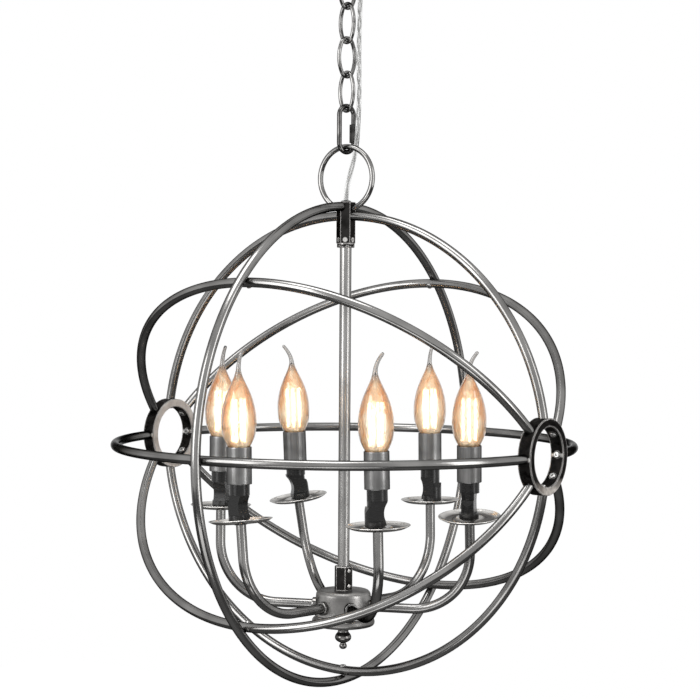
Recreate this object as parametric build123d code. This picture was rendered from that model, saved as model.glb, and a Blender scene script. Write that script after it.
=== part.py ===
"""Open orb chandelier with six candle arms on a short chain, one STEP file per piece.

Millimetres, +Z up. The origin is the middle of the ceiling plane, +X runs along the axis of
the two side hubs and -Y is the front. Pieces are drawn about the centre of the orb and are
moved down to their place when they are written.
"""
import os
from math import atan2, cos, degrees, pi, radians, sin, sqrt, tan

from build123d import *

# Cage of round bar
ORB_R = 235.0  # centreline of the eight arcs
BAR_D = 9.5
HUB_OD = 75.0
HUB_BORE_D = 58.0
HUB_LENGTH = 14.4
CAGE_SCREW_D = 4.0
CAGE_SCREW_LENGTH = 16.0
CAGE_SCREW_HEAD_D = 6.6
CAGE_SCREW_HEAD_H = 2.2

# Stem and its hexagonal couplings
HEX_AF = 17.0
UPPER_COUPLING_LENGTH = 42.75
LOWER_COUPLING_LENGTH = 24.5
LOWER_COUPLING_TURN = -15.6
STEM_OD = 12.0
STEM_SOCKET = 12.0  # depth of the stem in each coupling
LOCK_NUT_D = 18.0
LOCK_NUT_H = 4.2
SET_SCREW_D = 4.0
CLAMP_SCREW_D = 3.0
CLAMP_HEAD_D = 4.4

# Suspension, from the hanging ring up
RING_R = 32.2
RING_D = 5.5
QUICK_D = 5.0
QUICK_LENGTH = 52.0
QUICK_WIDTH = 24.0
QUICK_TURN = 74.4
QUICK_NUT_AF = 7.4
QUICK_NUT_LENGTH = 19.0
QUICK_GATE = 6.0
LINK_D = 4.0
LINK_LENGTH = 43.3
LINK_WIDTH = 25.0
LINK_COUNT = 4
LINK_SEAM = 0.4
LOOP_R = 10.5
LOOP_D = 5.0

# Ceiling fitting
CANOPY_D = 116.0
CANOPY_DEPTH = 26.0
CANOPY_FLAT_D = 46.0
CANOPY_WALL = 1.2
LOOP_STEM_D = 10.0
STRAP_LENGTH = 88.0
STRAP_WIDTH = 18.0
STRAP_T = 2.0
STRAP_DROP = 8.0
STRAP_HOLE_SPACING = 70.0  # between the two ceiling screws
STRAP_HOLE_D = 5.0
CANOPY_NUT_AF = 16.0
CANOPY_NUT_H = 5.0

# Cord: x, y and the share of the way from the coupling up to the ceiling fitting
CORD_D = 5.0
CORD_ROUTE = [
    (0.0, 0.0, 0.0),
    (0.0, 0.0, 0.060),
    (4.5, 3.2, 0.140),
    (8.2, 6.3, 0.217),
    (10.4, 6.0, 0.315),
    (11.3, 6.6, 0.435),
    (10.5, 5.9, 0.560),
    (11.0, 6.2, 0.695),
    (11.5, 6.9, 0.830),
    (13.1, 7.3, 0.937),
    (13.1, 7.3, 1.0),
]

# Arm body
BODY_TOP_D = 56.6
BODY_D = 59.6
BODY_H = 27.0
BODY_WALL = 2.2
BODY_SHOULDER = 4.8
COVER_D = 65.0
COVER_H = 10.3
PIPE_OD = 8.0
FINIAL_D = 17.0
FINIAL_H = 24.7
FINIAL_CLEARANCE = 16.38  # under the finial, to the screw in the lowest arc
BLOCK_LENGTH = 18.0
BLOCK_WIDTH = 9.0
BLOCK_H = 7.0
BLOCK_PLACE = 14.5  # from the axis
BLOCK_PITCH = 6.0
BLOCK_SCREW_D = 2.8
BLOCK_WIRE_D = 2.4

# Arms, counted anticlockwise from above
ARM_COUNT = 6
ARM_START = 19.6
ARM_TWISTS = (7.0, -1.0, -9.0, 1.0, 6.0, 1.5)
ARM_OD = 10.0
ARM_WALL = 1.2
ARM_R = 134.4
ARM_BEND_R = 62.0
ARM_RISE = 98.0  # arm root to the pan's seat
ARM_DROP = 16.5  # body top to the arm root
COLLAR_D = 14.0
ARM_NUT_AF = 13.0
ARM_NUT_H = 3.6

# Candles
CANDLE_LEANS = (-4.0, 0.0, 6.5, 0.0, -4.8, 0.0)  # of the lampholder's head against its arm
PAN_D = 63.5
PAN_DEPTH = 4.0  # rim above the channel
PAN_CHANNEL = 2.0  # channel below the seat
PAN_SEAT_D = 25.0
PAN_T = 1.0
HOLDER_H = 36.0
HOLDER_D = 20.5
FOOT_SET_BACK = 2.85  # foot's axis behind the head's
SLEEVE_D = 25.0
SLEEVE_H = 37.0
SLEEVE_WALL = 0.9
SHELL_WALL = 0.4
BASE_D = 13.86
BULB_D = 35.0
BULB_H = 74.0  # glass above the sleeve, without the tail
BULB_TAIL = 19.5
BULB_TAIL_LEAN = 8.0
TIP_TURNS = (34.0, 100.0, 214.0, -30.0, 104.0, 54.0)

# Clearances
RUN_GAP = 0.3  # between curved faces of pieces that move apart
FIT_GAP = 0.05  # radial, between fixed pieces that sit in each other
TURN_GAP = 0.07  # radial, between pieces that turn or slide in each other
WIRE_GAP = 0.3  # round cables in their bores


def ring_of(outer, inner, low, high):
    """Upright tube between two heights."""
    body = Pos(0, 0, (low + high) / 2) * Cylinder(outer, high - low)
    if inner:
        body -= Pos(0, 0, (low + high) / 2) * Cylinder(inner, high - low + 2)
    return body


def hexagon(across, low, high):
    """Upright hexagonal bar with two flats facing +X and -X."""
    outline = RegularPolygon(across / 2, 6, major_radius=False, rotation=30)
    return Pos(0, 0, low) * extrude(outline, high - low)


def turned(points):
    """Solid turned about Z from (radius, height) points."""
    outline = Polyline([(r, 0, z) for r, z in points], close=True)
    return revolve(make_face(outline), Axis.Z)


def out_from(radius, angle, part):
    """Turns a part drawn along +Z so that it points outward, at a radius from Z."""
    return Rot(0, 0, angle) * Pos(radius, 0, 0) * Rot(0, 90, 0) * part


def wire_loop(path_edges, diameter):
    """Round wire swept along a closed line of tangent edges."""
    path = Wire(path_edges)
    start = path @ 0
    section = Plane(origin=start, z_dir=path % 0) * Circle(diameter / 2)
    return sweep(section, path=path)


# Heights above the centre of the orb
OUTER_R = ORB_R + BAR_D
bar_end_z = sqrt(ORB_R**2 - (HEX_AF / 2) ** 2)
coupling_top = OUTER_R + BAR_D / 2
coupling_low = coupling_top - UPPER_COUPLING_LENGTH
ring_end_z = bar_end_z + (BAR_D + RING_D) / 2 + RUN_GAP
ring_centre = ring_end_z + sqrt(RING_R**2 - (HEX_AF / 2) ** 2)
quick_low = ring_centre + RING_R - (RING_D + QUICK_D) / 2 - RUN_GAP
quick_high = quick_low + QUICK_LENGTH - QUICK_D
link_low = [quick_high - (QUICK_D + LINK_D) / 2 - RUN_GAP]
for _ in range(LINK_COUNT - 1):
    link_low.append(link_low[-1] + LINK_LENGTH - 2 * LINK_D - RUN_GAP)
loop_low = link_low[-1] + LINK_LENGTH - LINK_D - (LINK_D + LOOP_D) / 2 - RUN_GAP
loop_centre = loop_low + LOOP_R
canopy_low = loop_centre + LOOP_R + LOOP_D / 2 + 0.5
ceiling = canopy_low + CANOPY_DEPTH

arc_seat = ORB_R - sqrt((BAR_D / 2) ** 2 - (CAGE_SCREW_HEAD_D / 2) ** 2)
finial_low = -(arc_seat - CAGE_SCREW_HEAD_H) + FINIAL_CLEARANCE
body_top = finial_low + FINIAL_H + COVER_H + BODY_H
body_low = body_top - BODY_H
cover_low = body_low - COVER_H
arm_z = body_top - ARM_DROP
lower_top = body_top + LOWER_COUPLING_LENGTH
stem_top = coupling_low + STEM_SOCKET
stem_low = lower_top - STEM_SOCKET
cable_bore = CORD_D / 2 + WIRE_GAP

parts = {}

# Cage: eight half circles between the hubs, the upper one in two halves beside the coupling
hub_x = sqrt(ORB_R**2 - (HUB_OD / 2) ** 2)
coupling_block = hexagon(HEX_AF, coupling_low, coupling_top)
head_room = CAGE_SCREW_HEAD_D / 2 + 0.2
hub_seat = HUB_BORE_D / 2 + 0.3
screw_hole = CAGE_SCREW_D / 2 + FIT_GAP

hub_space = Rot(0, 90, 0) * Cylinder(HUB_OD / 2, 2 * ORB_R + 4 * BAR_D)
half_circle = revolve(Pos(ORB_R, 0) * Circle(BAR_D / 2), Axis.Y, 180) - hub_space
for side in (-1, 1):
    depth = hub_seat + CAGE_SCREW_LENGTH + 0.3
    half_circle -= Pos(side * hub_x, 0, -depth / 2) * Cylinder(screw_hole, depth)
pierced = half_circle - Pos(0, 0, -ORB_R) * Cylinder(screw_hole, 2 * BAR_D)
pierced -= Pos(0, 0, -arc_seat + BAR_D / 2) * Cylinder(head_room, BAR_D)
arc_turns = {
    "arc_bottom": 0,
    "arc_back_lower": 45,
    "arc_back": 90,
    "arc_back_upper": 135,
    "arc_front_upper": 225,
    "arc_front": 270,
    "arc_front_lower": 315,
}
for name, turn in arc_turns.items():
    parts[name] = Rot(turn, 0, 0) * pierced
parts["arc_top"] = Rot(180, 0, 0) * half_circle - coupling_block

# Outer ring: one bar round the outside, open where the coupling passes through it
outer_ring = Rot(0, 90, 0) * Torus(OUTER_R, BAR_D / 2) - coupling_block
for turn in arc_turns.values():
    tip = arc_seat + CAGE_SCREW_LENGTH + 0.3
    outer_ring -= Rot(turn, 0, 0) * Pos(0, 0, -(ORB_R + tip) / 2) * Cylinder(screw_hole, tip - ORB_R)
parts["outer_ring"] = outer_ring

# Hubs: short collars, drilled and spot-faced for the screws that hold the bar ends
hub = Rot(0, 90, 0) * Cylinder(HUB_OD / 2, HUB_LENGTH)
hub -= Rot(0, 90, 0) * Cylinder(HUB_BORE_D / 2, HUB_LENGTH + 2)
hub = chamfer(hub.edges().filter_by(GeomType.CIRCLE), 0.7)
for turn in range(0, 360, 45):
    hub -= Rot(turn, 0, 0) * Pos(0, 0, -HUB_OD / 2) * Cylinder(screw_hole, HUB_OD / 2)
    hub -= Rot(turn, 0, 0) * Pos(0, 0, -hub_seat / 2) * Cylinder(head_room, hub_seat)
parts["hub_left"] = Pos(-hub_x, 0, 0) * hub
parts["hub_right"] = Pos(hub_x, 0, 0) * hub

# Screws of the cage: the same screw holds the bar ends and the crossings
screw = Pos(0, 0, -CAGE_SCREW_LENGTH / 2) * Cylinder(CAGE_SCREW_D / 2, CAGE_SCREW_LENGTH)
head = Pos(0, 0, CAGE_SCREW_HEAD_H / 2) * Cylinder(CAGE_SCREW_HEAD_D / 2, CAGE_SCREW_HEAD_H)
head = fillet(head.edges().group_by(Axis.Z)[-1], CAGE_SCREW_HEAD_H * 0.45)
screw += head
socket = RegularPolygon(CAGE_SCREW_D * 0.3, 6, major_radius=False)
screw -= Pos(0, 0, CAGE_SCREW_HEAD_H * 0.4) * extrude(socket, CAGE_SCREW_HEAD_H)
cage_screws = []
for turn in range(0, 360, 45):
    for side in (-1, 1):
        cage_screws.append(Rot(turn, 0, 0) * Pos(side * hub_x, 0, -hub_seat) * screw)
for turn in arc_turns.values():
    cage_screws.append(Rot(turn, 0, 0) * Pos(0, 0, -arc_seat) * screw)
parts["cage_screws"] = Compound(children=cage_screws)

# Upper coupling: hexagonal bar through the crossing, bored for the stem and the cable
grommet_seat = 3.0
grommet_neck = CORD_D / 2 + 1.9
top_coupling = chamfer(coupling_block.edges().group_by(Axis.Z)[0], 0.6)
top_coupling -= ring_of(STEM_OD / 2 + FIT_GAP, 0, coupling_low - 1, stem_top)
top_coupling -= ring_of(cable_bore, 0, stem_top - 1, coupling_top + 1)
top_coupling -= ring_of(grommet_neck + FIT_GAP, 0, coupling_top - grommet_seat, coupling_top + 1)
set_z = coupling_low + SET_SCREW_D
for turn in range(0, 360, 60):
    bore = Pos(0, 0, HEX_AF / 2) * Cylinder(SET_SCREW_D / 2 + FIT_GAP, HEX_AF)
    top_coupling -= Pos(0, 0, set_z) * out_from(0, turn, bore)
parts["top_coupling"] = top_coupling

# Lock nut under the upper coupling, notched for a spanner
lock_nut = ring_of(LOCK_NUT_D / 2, STEM_OD / 2 + FIT_GAP, coupling_low - LOCK_NUT_H, coupling_low)
lock_nut = chamfer(lock_nut.edges().group_by(Axis.Z)[0].sort_by(SortBy.LENGTH)[-1], 0.6)
for turn in range(0, 360, 60):
    notch = Pos(LOCK_NUT_D / 2, 0, coupling_low - LOCK_NUT_H) * Box(2.2, 2.0, LOCK_NUT_H)
    lock_nut -= Rot(0, 0, turn + 15) * notch
parts["coupling_lock_nut"] = lock_nut

# Stem, and the lower coupling that joins it to the centre pipe
parts["stem_tube"] = ring_of(STEM_OD / 2, cable_bore, stem_low, stem_top)
lower_coupling = hexagon(HEX_AF, body_top, lower_top)
lower_coupling = chamfer(lower_coupling.edges().group_by(Axis.Z)[-1], 0.6)
lower_coupling -= ring_of(STEM_OD / 2 + FIT_GAP, 0, stem_low, lower_top + 1)
lower_coupling -= ring_of(PIPE_OD / 2 + FIT_GAP, 0, body_top - 1, stem_low + 1)
clamp_heights = (lower_top - CLAMP_HEAD_D, body_top + CLAMP_HEAD_D)
for height in clamp_heights:
    bore = Pos(0, 0, HEX_AF / 2) * Cylinder(CLAMP_SCREW_D / 2 + FIT_GAP, HEX_AF)
    lower_coupling -= Pos(0, 0, height) * out_from(0, 0, bore)
parts["lower_coupling"] = Rot(0, 0, LOWER_COUPLING_TURN) * lower_coupling

# Screws of the couplings: six set screws above, two round-headed clamp screws below
set_reach = HEX_AF / 2 - STEM_OD / 2 + 0.3
set_screw = Pos(0, 0, set_reach / 2) * Cylinder(SET_SCREW_D / 2, set_reach)
socket = RegularPolygon(SET_SCREW_D * 0.27, 6, major_radius=False)
set_screw -= Pos(0, 0, set_reach - 1.4) * extrude(socket, 2.0)
coupling_screws = []
for turn in range(0, 360, 60):
    coupling_screws.append(Pos(0, 0, set_z) * out_from(STEM_OD / 2 + FIT_GAP, turn, set_screw))
for height, core in zip(clamp_heights, (STEM_OD, PIPE_OD)):
    reach = (HEX_AF - core) / 2 - FIT_GAP
    clamp = Pos(0, 0, reach / 2) * Cylinder(CLAMP_SCREW_D / 2, reach)
    dome = Pos(0, 0, reach) * Sphere(CLAMP_HEAD_D / 2)
    dome -= Pos(0, 0, reach - CLAMP_HEAD_D) * Box(CLAMP_HEAD_D * 2, CLAMP_HEAD_D * 2, CLAMP_HEAD_D * 2)
    dome -= Pos(0, 0, reach + CLAMP_HEAD_D / 2) * Box(CLAMP_HEAD_D * 2, 0.8, 1.6)
    placed = Pos(0, 0, height) * out_from(core / 2 + FIT_GAP, 0, clamp + dome)
    coupling_screws.append(Rot(0, 0, LOWER_COUPLING_TURN) * placed)
parts["coupling_screws"] = Compound(children=coupling_screws)

# Hanging ring: round wire whose two ends stand on the coupling, just above the arcs
hanging_ring = Pos(0, 0, ring_centre) * Rot(90, 0, 0) * Torus(RING_R, RING_D / 2)
parts["hanging_ring"] = hanging_ring - hexagon(HEX_AF, coupling_low, ring_centre)

# Chain links: ovals of four tangent arcs, every other one turned a quarter, with a butt seam
half_long = (LINK_LENGTH - LINK_D) / 2
half_wide = (LINK_WIDTH - LINK_D) / 2
end_r = 0.72 * half_wide
end_z = half_long - end_r
side_r = (half_wide**2 + end_z**2 - end_r**2) / (2 * (half_wide - end_r))
meet = degrees(atan2(end_z, side_r - half_wide))
link_path = []
with BuildLine(Plane.XZ):
    link_path.append(CenterArc((half_wide - side_r, 0), side_r, -meet, 2 * meet))
    link_path.append(CenterArc((0, end_z), end_r, meet, 180 - 2 * meet))
    link_path.append(CenterArc((side_r - half_wide, 0), side_r, 180 - meet, 2 * meet))
    link_path.append(CenterArc((0, -end_z), end_r, 180 + meet, 180 - 2 * meet))
link_edges = [edge for arc in link_path for edge in arc.edges()]
link = wire_loop(link_edges, LINK_D)
link -= Pos(-half_wide, 0, 0) * Box(2 * LINK_D, 2 * LINK_D, LINK_SEAM)
for count in range(LINK_COUNT):
    turn = QUICK_TURN + (90 if count % 2 == 0 else 180)
    parts[f"chain_link_{count + 1}"] = Pos(0, 0, link_low[count] + half_long) * Rot(0, 0, turn) * link

# Quick link with its gate, and the sleeve nut that closes the gate
quick_half = (QUICK_WIDTH - QUICK_D) / 2
quick_run = (quick_high - quick_low) / 2 - quick_half
nut_low = -quick_run + 0.2
gate_low = nut_low + 2.5
quick_path = []
with BuildLine(Plane.XZ):
    quick_path.append(Line((quick_half, -quick_run), (quick_half, quick_run)))
    quick_path.append(CenterArc((0, quick_run), quick_half, 0, 180))
    quick_path.append(Line((-quick_half, quick_run), (-quick_half, -quick_run)))
    quick_path.append(CenterArc((0, -quick_run), quick_half, 180, 180))
quick_edges = [edge for line in quick_path for edge in line.edges()]
quick = wire_loop(quick_edges, QUICK_D)
quick -= Pos(quick_half, 0, gate_low + QUICK_GATE / 2) * Box(2 * QUICK_D, 2 * QUICK_D, QUICK_GATE)
quick_place = Pos(0, 0, (quick_low + quick_high) / 2) * Rot(0, 0, QUICK_TURN)
parts["quick_link"] = quick_place * quick
nut = hexagon(QUICK_NUT_AF, nut_low, nut_low + QUICK_NUT_LENGTH)
nut = chamfer(nut.edges().group_by(Axis.Z)[0] + nut.edges().group_by(Axis.Z)[-1], 0.4)
nut -= ring_of(QUICK_D / 2 + TURN_GAP, 0, -quick_run - 1, quick_run + 1)
parts["quick_link_nut"] = quick_place * Pos(quick_half, 0, 0) * nut

# Ceiling loop: an eye under a shoulder and a threaded stem
loop_turn = QUICK_TURN + (90 if LINK_COUNT % 2 == 0 else 0)
canopy_loop = Pos(0, 0, loop_centre) * Rot(0, 0, loop_turn) * Rot(90, 0, 0) * Torus(LOOP_R, LOOP_D / 2)
canopy_loop += ring_of(LOOP_STEM_D / 2 + 2, 0, loop_centre + LOOP_R, canopy_low)
canopy_loop += ring_of(LOOP_STEM_D / 2, 0, canopy_low - 0.5, ceiling - 2.5)
parts["canopy_loop"] = canopy_loop

# Canopy cover: thin dish that rests on the loop's shoulder and meets the ceiling with its rim
rim = CANOPY_D / 2
flat = CANOPY_FLAT_D / 2
wall = CANOPY_WALL
canopy_cover = turned([
    (LOOP_STEM_D / 2 + FIT_GAP, canopy_low),
    (flat, canopy_low),
    (flat + 0.55 * (rim - flat), canopy_low + 0.14 * CANOPY_DEPTH),
    (flat + 0.88 * (rim - flat), canopy_low + 0.42 * CANOPY_DEPTH),
    (rim, canopy_low + 0.8 * CANOPY_DEPTH),
    (rim, ceiling),
    (rim - wall, ceiling),
    (rim - wall, canopy_low + 0.8 * CANOPY_DEPTH + 0.3 * wall),
    (flat + 0.88 * (rim - flat) - wall, canopy_low + 0.42 * CANOPY_DEPTH + 0.6 * wall),
    (flat + 0.55 * (rim - flat) - 0.4 * wall, canopy_low + 0.14 * CANOPY_DEPTH + wall),
    (flat, canopy_low + wall),
    (LOOP_STEM_D / 2 + FIT_GAP, canopy_low + wall),
])
cord_x, cord_y, _ = CORD_ROUTE[-1]
eyelet = CORD_D / 2 + 1.7
canopy_cover -= Pos(cord_x, cord_y) * ring_of(eyelet + FIT_GAP, 0, canopy_low - 1, canopy_low + 3)
parts["canopy_cover"] = canopy_cover

# Strap: bent flat bar under the ceiling, with two screw holes and the hole for the loop's stem
strap_mid = ceiling - STRAP_DROP
half_strap = STRAP_LENGTH / 2
step_x = STRAP_HOLE_SPACING / 2 - 1.6 * STRAP_HOLE_D
strap = Box(2 * step_x, STRAP_WIDTH, STRAP_T)
strap = Pos(0, 0, strap_mid - STRAP_T / 2) * strap
for side in (-1, 1):
    riser = Box(STRAP_T, STRAP_WIDTH, STRAP_DROP + STRAP_T)
    strap += Pos(side * step_x, 0, ceiling - (STRAP_DROP + STRAP_T) / 2) * riser
    foot = Box(half_strap - step_x, STRAP_WIDTH, STRAP_T)
    strap += Pos(side * (half_strap + step_x) / 2, 0, ceiling - STRAP_T / 2) * foot
    strap -= Pos(side * STRAP_HOLE_SPACING / 2, 0, ceiling) * Cylinder(STRAP_HOLE_D / 2, 4 * STRAP_T)
strap -= Pos(0, 0, strap_mid) * Cylinder(LOOP_STEM_D / 2 + FIT_GAP, 4 * STRAP_T)
parts["ceiling_strap"] = strap

# Two nuts that clamp the loop's stem in the strap
canopy_nuts = []
for low in (strap_mid, strap_mid - STRAP_T - CANOPY_NUT_H):
    nut = hexagon(CANOPY_NUT_AF, low, low + CANOPY_NUT_H)
    canopy_nuts.append(nut - ring_of(LOOP_STEM_D / 2 + FIT_GAP, 0, low - 1, low + CANOPY_NUT_H + 1))
parts["canopy_nuts"] = Compound(children=canopy_nuts)

# Grommets where the cord passes the canopy and where it enters the coupling
grommet_bore = CORD_D / 2 + FIT_GAP
parts["canopy_grommet"] = Pos(cord_x, cord_y) * turned([
    (grommet_bore, canopy_low - 1.6),
    (eyelet + 0.6, canopy_low - 1.6),
    (eyelet + 1.1, canopy_low - 1.0),
    (eyelet + 1.1, canopy_low),
    (eyelet, canopy_low),
    (eyelet, canopy_low + wall),
    (eyelet + 1.0, canopy_low + wall),
    (eyelet + 0.6, canopy_low + wall + 1.4),
    (grommet_bore, canopy_low + wall + 1.4),
])
parts["cord_grommet"] = turned([
    (grommet_bore, coupling_top - grommet_seat),
    (grommet_neck, coupling_top - grommet_seat),
    (grommet_neck, coupling_top),
    (grommet_neck + 1.0, coupling_top),
    (grommet_neck + 0.8, coupling_top + 1.0),
    (grommet_bore + 0.6, coupling_top + 1.8),
    (grommet_bore, coupling_top + 1.8),
])

# Cord: straight runs joined by tangent arcs, beside the chain from the coupling to the canopy
cord_start = coupling_top - grommet_seat - 0.25
cord_end = canopy_low + wall + 6.0
cord_points = [Vector(x, y, cord_start + share * (cord_end - cord_start)) for x, y, share in CORD_ROUTE]
cord_radii = []
for before, here, after in zip(cord_points, cord_points[1:], cord_points[2:]):
    turn = (here - before).get_angle(after - here)
    shorter = min((here - before).length, (after - here).length)
    cord_radii.append(0.45 * shorter / tan(radians(turn) / 2))
print("cord radii", [round(radius, 1) for radius in cord_radii])
cord_path = FilletPolyline(*cord_points, radius=cord_radii)
cord_section = Plane(origin=cord_points[0], z_dir=cord_points[1] - cord_points[0]) * Circle(CORD_D / 2)
cord = sweep(cord_section, path=cord_path)
print("cord length", round(cord_path.length, 1), "volume ratio", round(
    cord.volume / (cord_path.length * pi * CORD_D**2 / 4), 4))
parts["cord"] = cord

# Arm body: cup with a rounded shoulder and six arm holes
cup_inner_top = BODY_TOP_D / 2 - BODY_WALL
cup_inner_low = BODY_D / 2 - BODY_WALL
pipe_hole = PIPE_OD / 2 + FIT_GAP
shoulder = [
    (BODY_TOP_D / 2 - BODY_SHOULDER * (1 - sin(radians(angle))),
     body_top - BODY_SHOULDER * (1 - cos(radians(angle))))
    for angle in range(0, 91, 15)
]
cup_outer = turned([(0, body_top), *shoulder, (BODY_D / 2, body_low + 2.0),
                    (BODY_D / 2 - 0.5, body_low), (0, body_low)])
cup_inner = turned([
    (0, body_top - BODY_WALL),
    (cup_inner_top - BODY_SHOULDER, body_top - BODY_WALL),
    (cup_inner_top, body_top - BODY_WALL - BODY_SHOULDER),
    (cup_inner_low, body_low - 1),
    (0, body_low - 1),
])
arm_body = cup_outer - cup_inner - ring_of(pipe_hole, 0, body_top - 10, body_top + 1)
arm_angles = [ARM_START + count * 360 / ARM_COUNT for count in range(ARM_COUNT)]
for angle in arm_angles:
    bore = Pos(0, 0, BODY_D / 2) * Cylinder(ARM_OD / 2 + FIT_GAP, BODY_D / 2)
    arm_body -= Pos(0, 0, arm_z) * out_from(0, angle, bore)
parts["arm_body"] = arm_body

# Cover: flared lid that closes the cup from below, with a spigot inside the cup
lip = COVER_D / 2
spigot = cup_inner_low - 0.4
parts["body_cover"] = turned([
    (pipe_hole, cover_low),
    (lip - 3.4, cover_low),
    (lip - 1.4, cover_low + 0.08 * COVER_H),
    (lip - 0.3, cover_low + 0.25 * COVER_H),
    (lip, cover_low + 0.45 * COVER_H),
    (lip - 0.4, cover_low + 0.66 * COVER_H),
    (lip - 1.6, cover_low + 0.82 * COVER_H),
    (BODY_D / 2 - 0.3, cover_low + 0.92 * COVER_H),
    (BODY_D / 2 - 0.5, body_low),
    (spigot, body_low),
    (spigot, body_low + 2.4),
    (spigot - 1.6, body_low + 2.4),
    (spigot - 1.6, cover_low + 2.2),
    (pipe_hole, cover_low + 2.2),
])

# Centre pipe: hollow, from the lower coupling through the body into the finial
pipe_low = cover_low - 0.36 * FINIAL_H
centre_pipe = ring_of(PIPE_OD / 2, cable_bore, pipe_low, stem_low - 0.2)
window = Box(PIPE_OD, 3.6, 0.55 * BODY_H)
centre_pipe -= Pos(PIPE_OD / 2, 0, body_top - 0.55 * BODY_H) * window
parts["centre_pipe"] = centre_pipe

# Finial: turned ball, waist and bead, screwed on the pipe
finial = [(0, cover_low), (0.325 * FINIAL_D, cover_low)]
finial += [(r * FINIAL_D, cover_low - z * FINIAL_H) for r, z in (
    (0.34, 0.05), (0.33, 0.17), (0.325, 0.27), (0.40, 0.33), (0.465, 0.40), (0.50, 0.49),
    (0.47, 0.57), (0.39, 0.64), (0.28, 0.695), (0.18, 0.735), (0.175, 0.76),
    (0.21, 0.80), (0.235, 0.86), (0.205, 0.93), (0.12, 0.985), (0, 1.0))]
finial = turned(finial)
parts["finial"] = finial - ring_of(pipe_hole, 0, pipe_low - 0.3, cover_low + 1)

# Terminal block on the floor of the cover
floor = cover_low + 2.2
block = Pos(0, BLOCK_PLACE, floor + BLOCK_H / 2) * Box(BLOCK_LENGTH, BLOCK_WIDTH, BLOCK_H)
for place in (-BLOCK_PITCH, 0, BLOCK_PITCH):
    screw_well = Cylinder(BLOCK_SCREW_D / 2, 0.86 * BLOCK_H)
    wire_way = Rot(90, 0, 0) * Cylinder(BLOCK_WIRE_D / 2, 2 * BLOCK_WIDTH)
    block -= Pos(place, BLOCK_PLACE, floor + BLOCK_H) * screw_well
    block -= Pos(place, BLOCK_PLACE, floor + 0.37 * BLOCK_H) * wire_way
parts["terminal_block"] = block


def on_arm(count, part):
    """Moves a part from the arm's own axes (+X outward, root at the origin) to its place."""
    return Pos(0, 0, arm_z) * Rot(0, 0, arm_angles[count]) * Rot(ARM_TWISTS[count], 0, 0) * part


def on_candle(count, part):
    """Moves a part from the candle's axes (foot of the pan at the origin) to its place."""
    return on_arm(count, Pos(ARM_R, 0, ARM_RISE) * part)


def bent_bar(radius, start_x, end_z):
    """Round bar that runs outward, bends up and ends below a candle."""
    bend_x = ARM_R - ARM_BEND_R
    level = Pos((start_x + bend_x) / 2, 0, 0) * Rot(0, 90, 0) * Cylinder(radius, bend_x - start_x)
    elbow = Pos(bend_x, 0, ARM_BEND_R) * Rot(90, 0, 0) * Torus(ARM_BEND_R, radius)
    quarter = Pos(bend_x + ARM_BEND_R, 0, 0) * Box(2 * ARM_BEND_R, 4 * radius, 2 * ARM_BEND_R)
    upright = Pos(ARM_R, 0) * ring_of(radius, 0, ARM_BEND_R, end_z)
    return level + (elbow & quarter) + upright


# Arms: bent tubes with a collar outside the body and a seat under the pan
arm_root = cup_inner_low - BODY_WALL - ARM_NUT_H - 2.0
arm_end = ARM_RISE + PAN_T + 5.0
bore_r = ARM_OD / 2 - ARM_WALL
arm_rod = bent_bar(ARM_OD / 2, arm_root, arm_end)
arm_rod += Pos(BODY_D / 2 + 0.5, 0, 0) * Rot(0, 90, 0) * Cylinder(COLLAR_D / 2, 5.0)
arm_rod += Pos(ARM_R, 0) * ring_of(COLLAR_D / 2, 0, ARM_RISE - 3.0, ARM_RISE)
arm_bore = bent_bar(bore_r, arm_root - 1, arm_end + 1)
arm_lead = bent_bar(bore_r - WIRE_GAP, arm_root, arm_end)
shell_space = cup_outer - Pos(0, 0, arm_z) * Cylinder(cup_inner_low - BODY_WALL - 1, 2 * BODY_H)
for count in range(ARM_COUNT):
    arm = on_arm(count, arm_rod)
    hole = Pos(0, 0, BODY_D / 2) * Cylinder(ARM_OD / 2, BODY_D / 2)
    arm -= shell_space - Pos(0, 0, arm_z) * out_from(0, arm_angles[count], hole)
    parts[f"arm_{count + 1}"] = arm - on_arm(count, arm_bore)

# Cables inside the stem and the arms
stem_cable = ring_of(CORD_D / 2, 0, body_top - 0.8 * BODY_H, cord_start)
leads = [on_arm(count, arm_lead) for count in range(ARM_COUNT)]
parts["inner_wiring"] = Compound(children=[stem_cable, *leads])

# Nuts that hold the arms inside the body
nut_face = sqrt((min(cup_inner_top, cup_inner_low) - 0.3) ** 2 - (ARM_NUT_AF * 0.58) ** 2)
arm_nuts = []
for angle in arm_angles:
    nut = hexagon(ARM_NUT_AF, -ARM_NUT_H, 0) - Cylinder(ARM_OD / 2 + FIT_GAP, 4 * ARM_NUT_H)
    arm_nuts.append(Pos(0, 0, arm_z) * out_from(nut_face, angle, nut))
parts["arm_nuts"] = Compound(children=arm_nuts)

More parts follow.
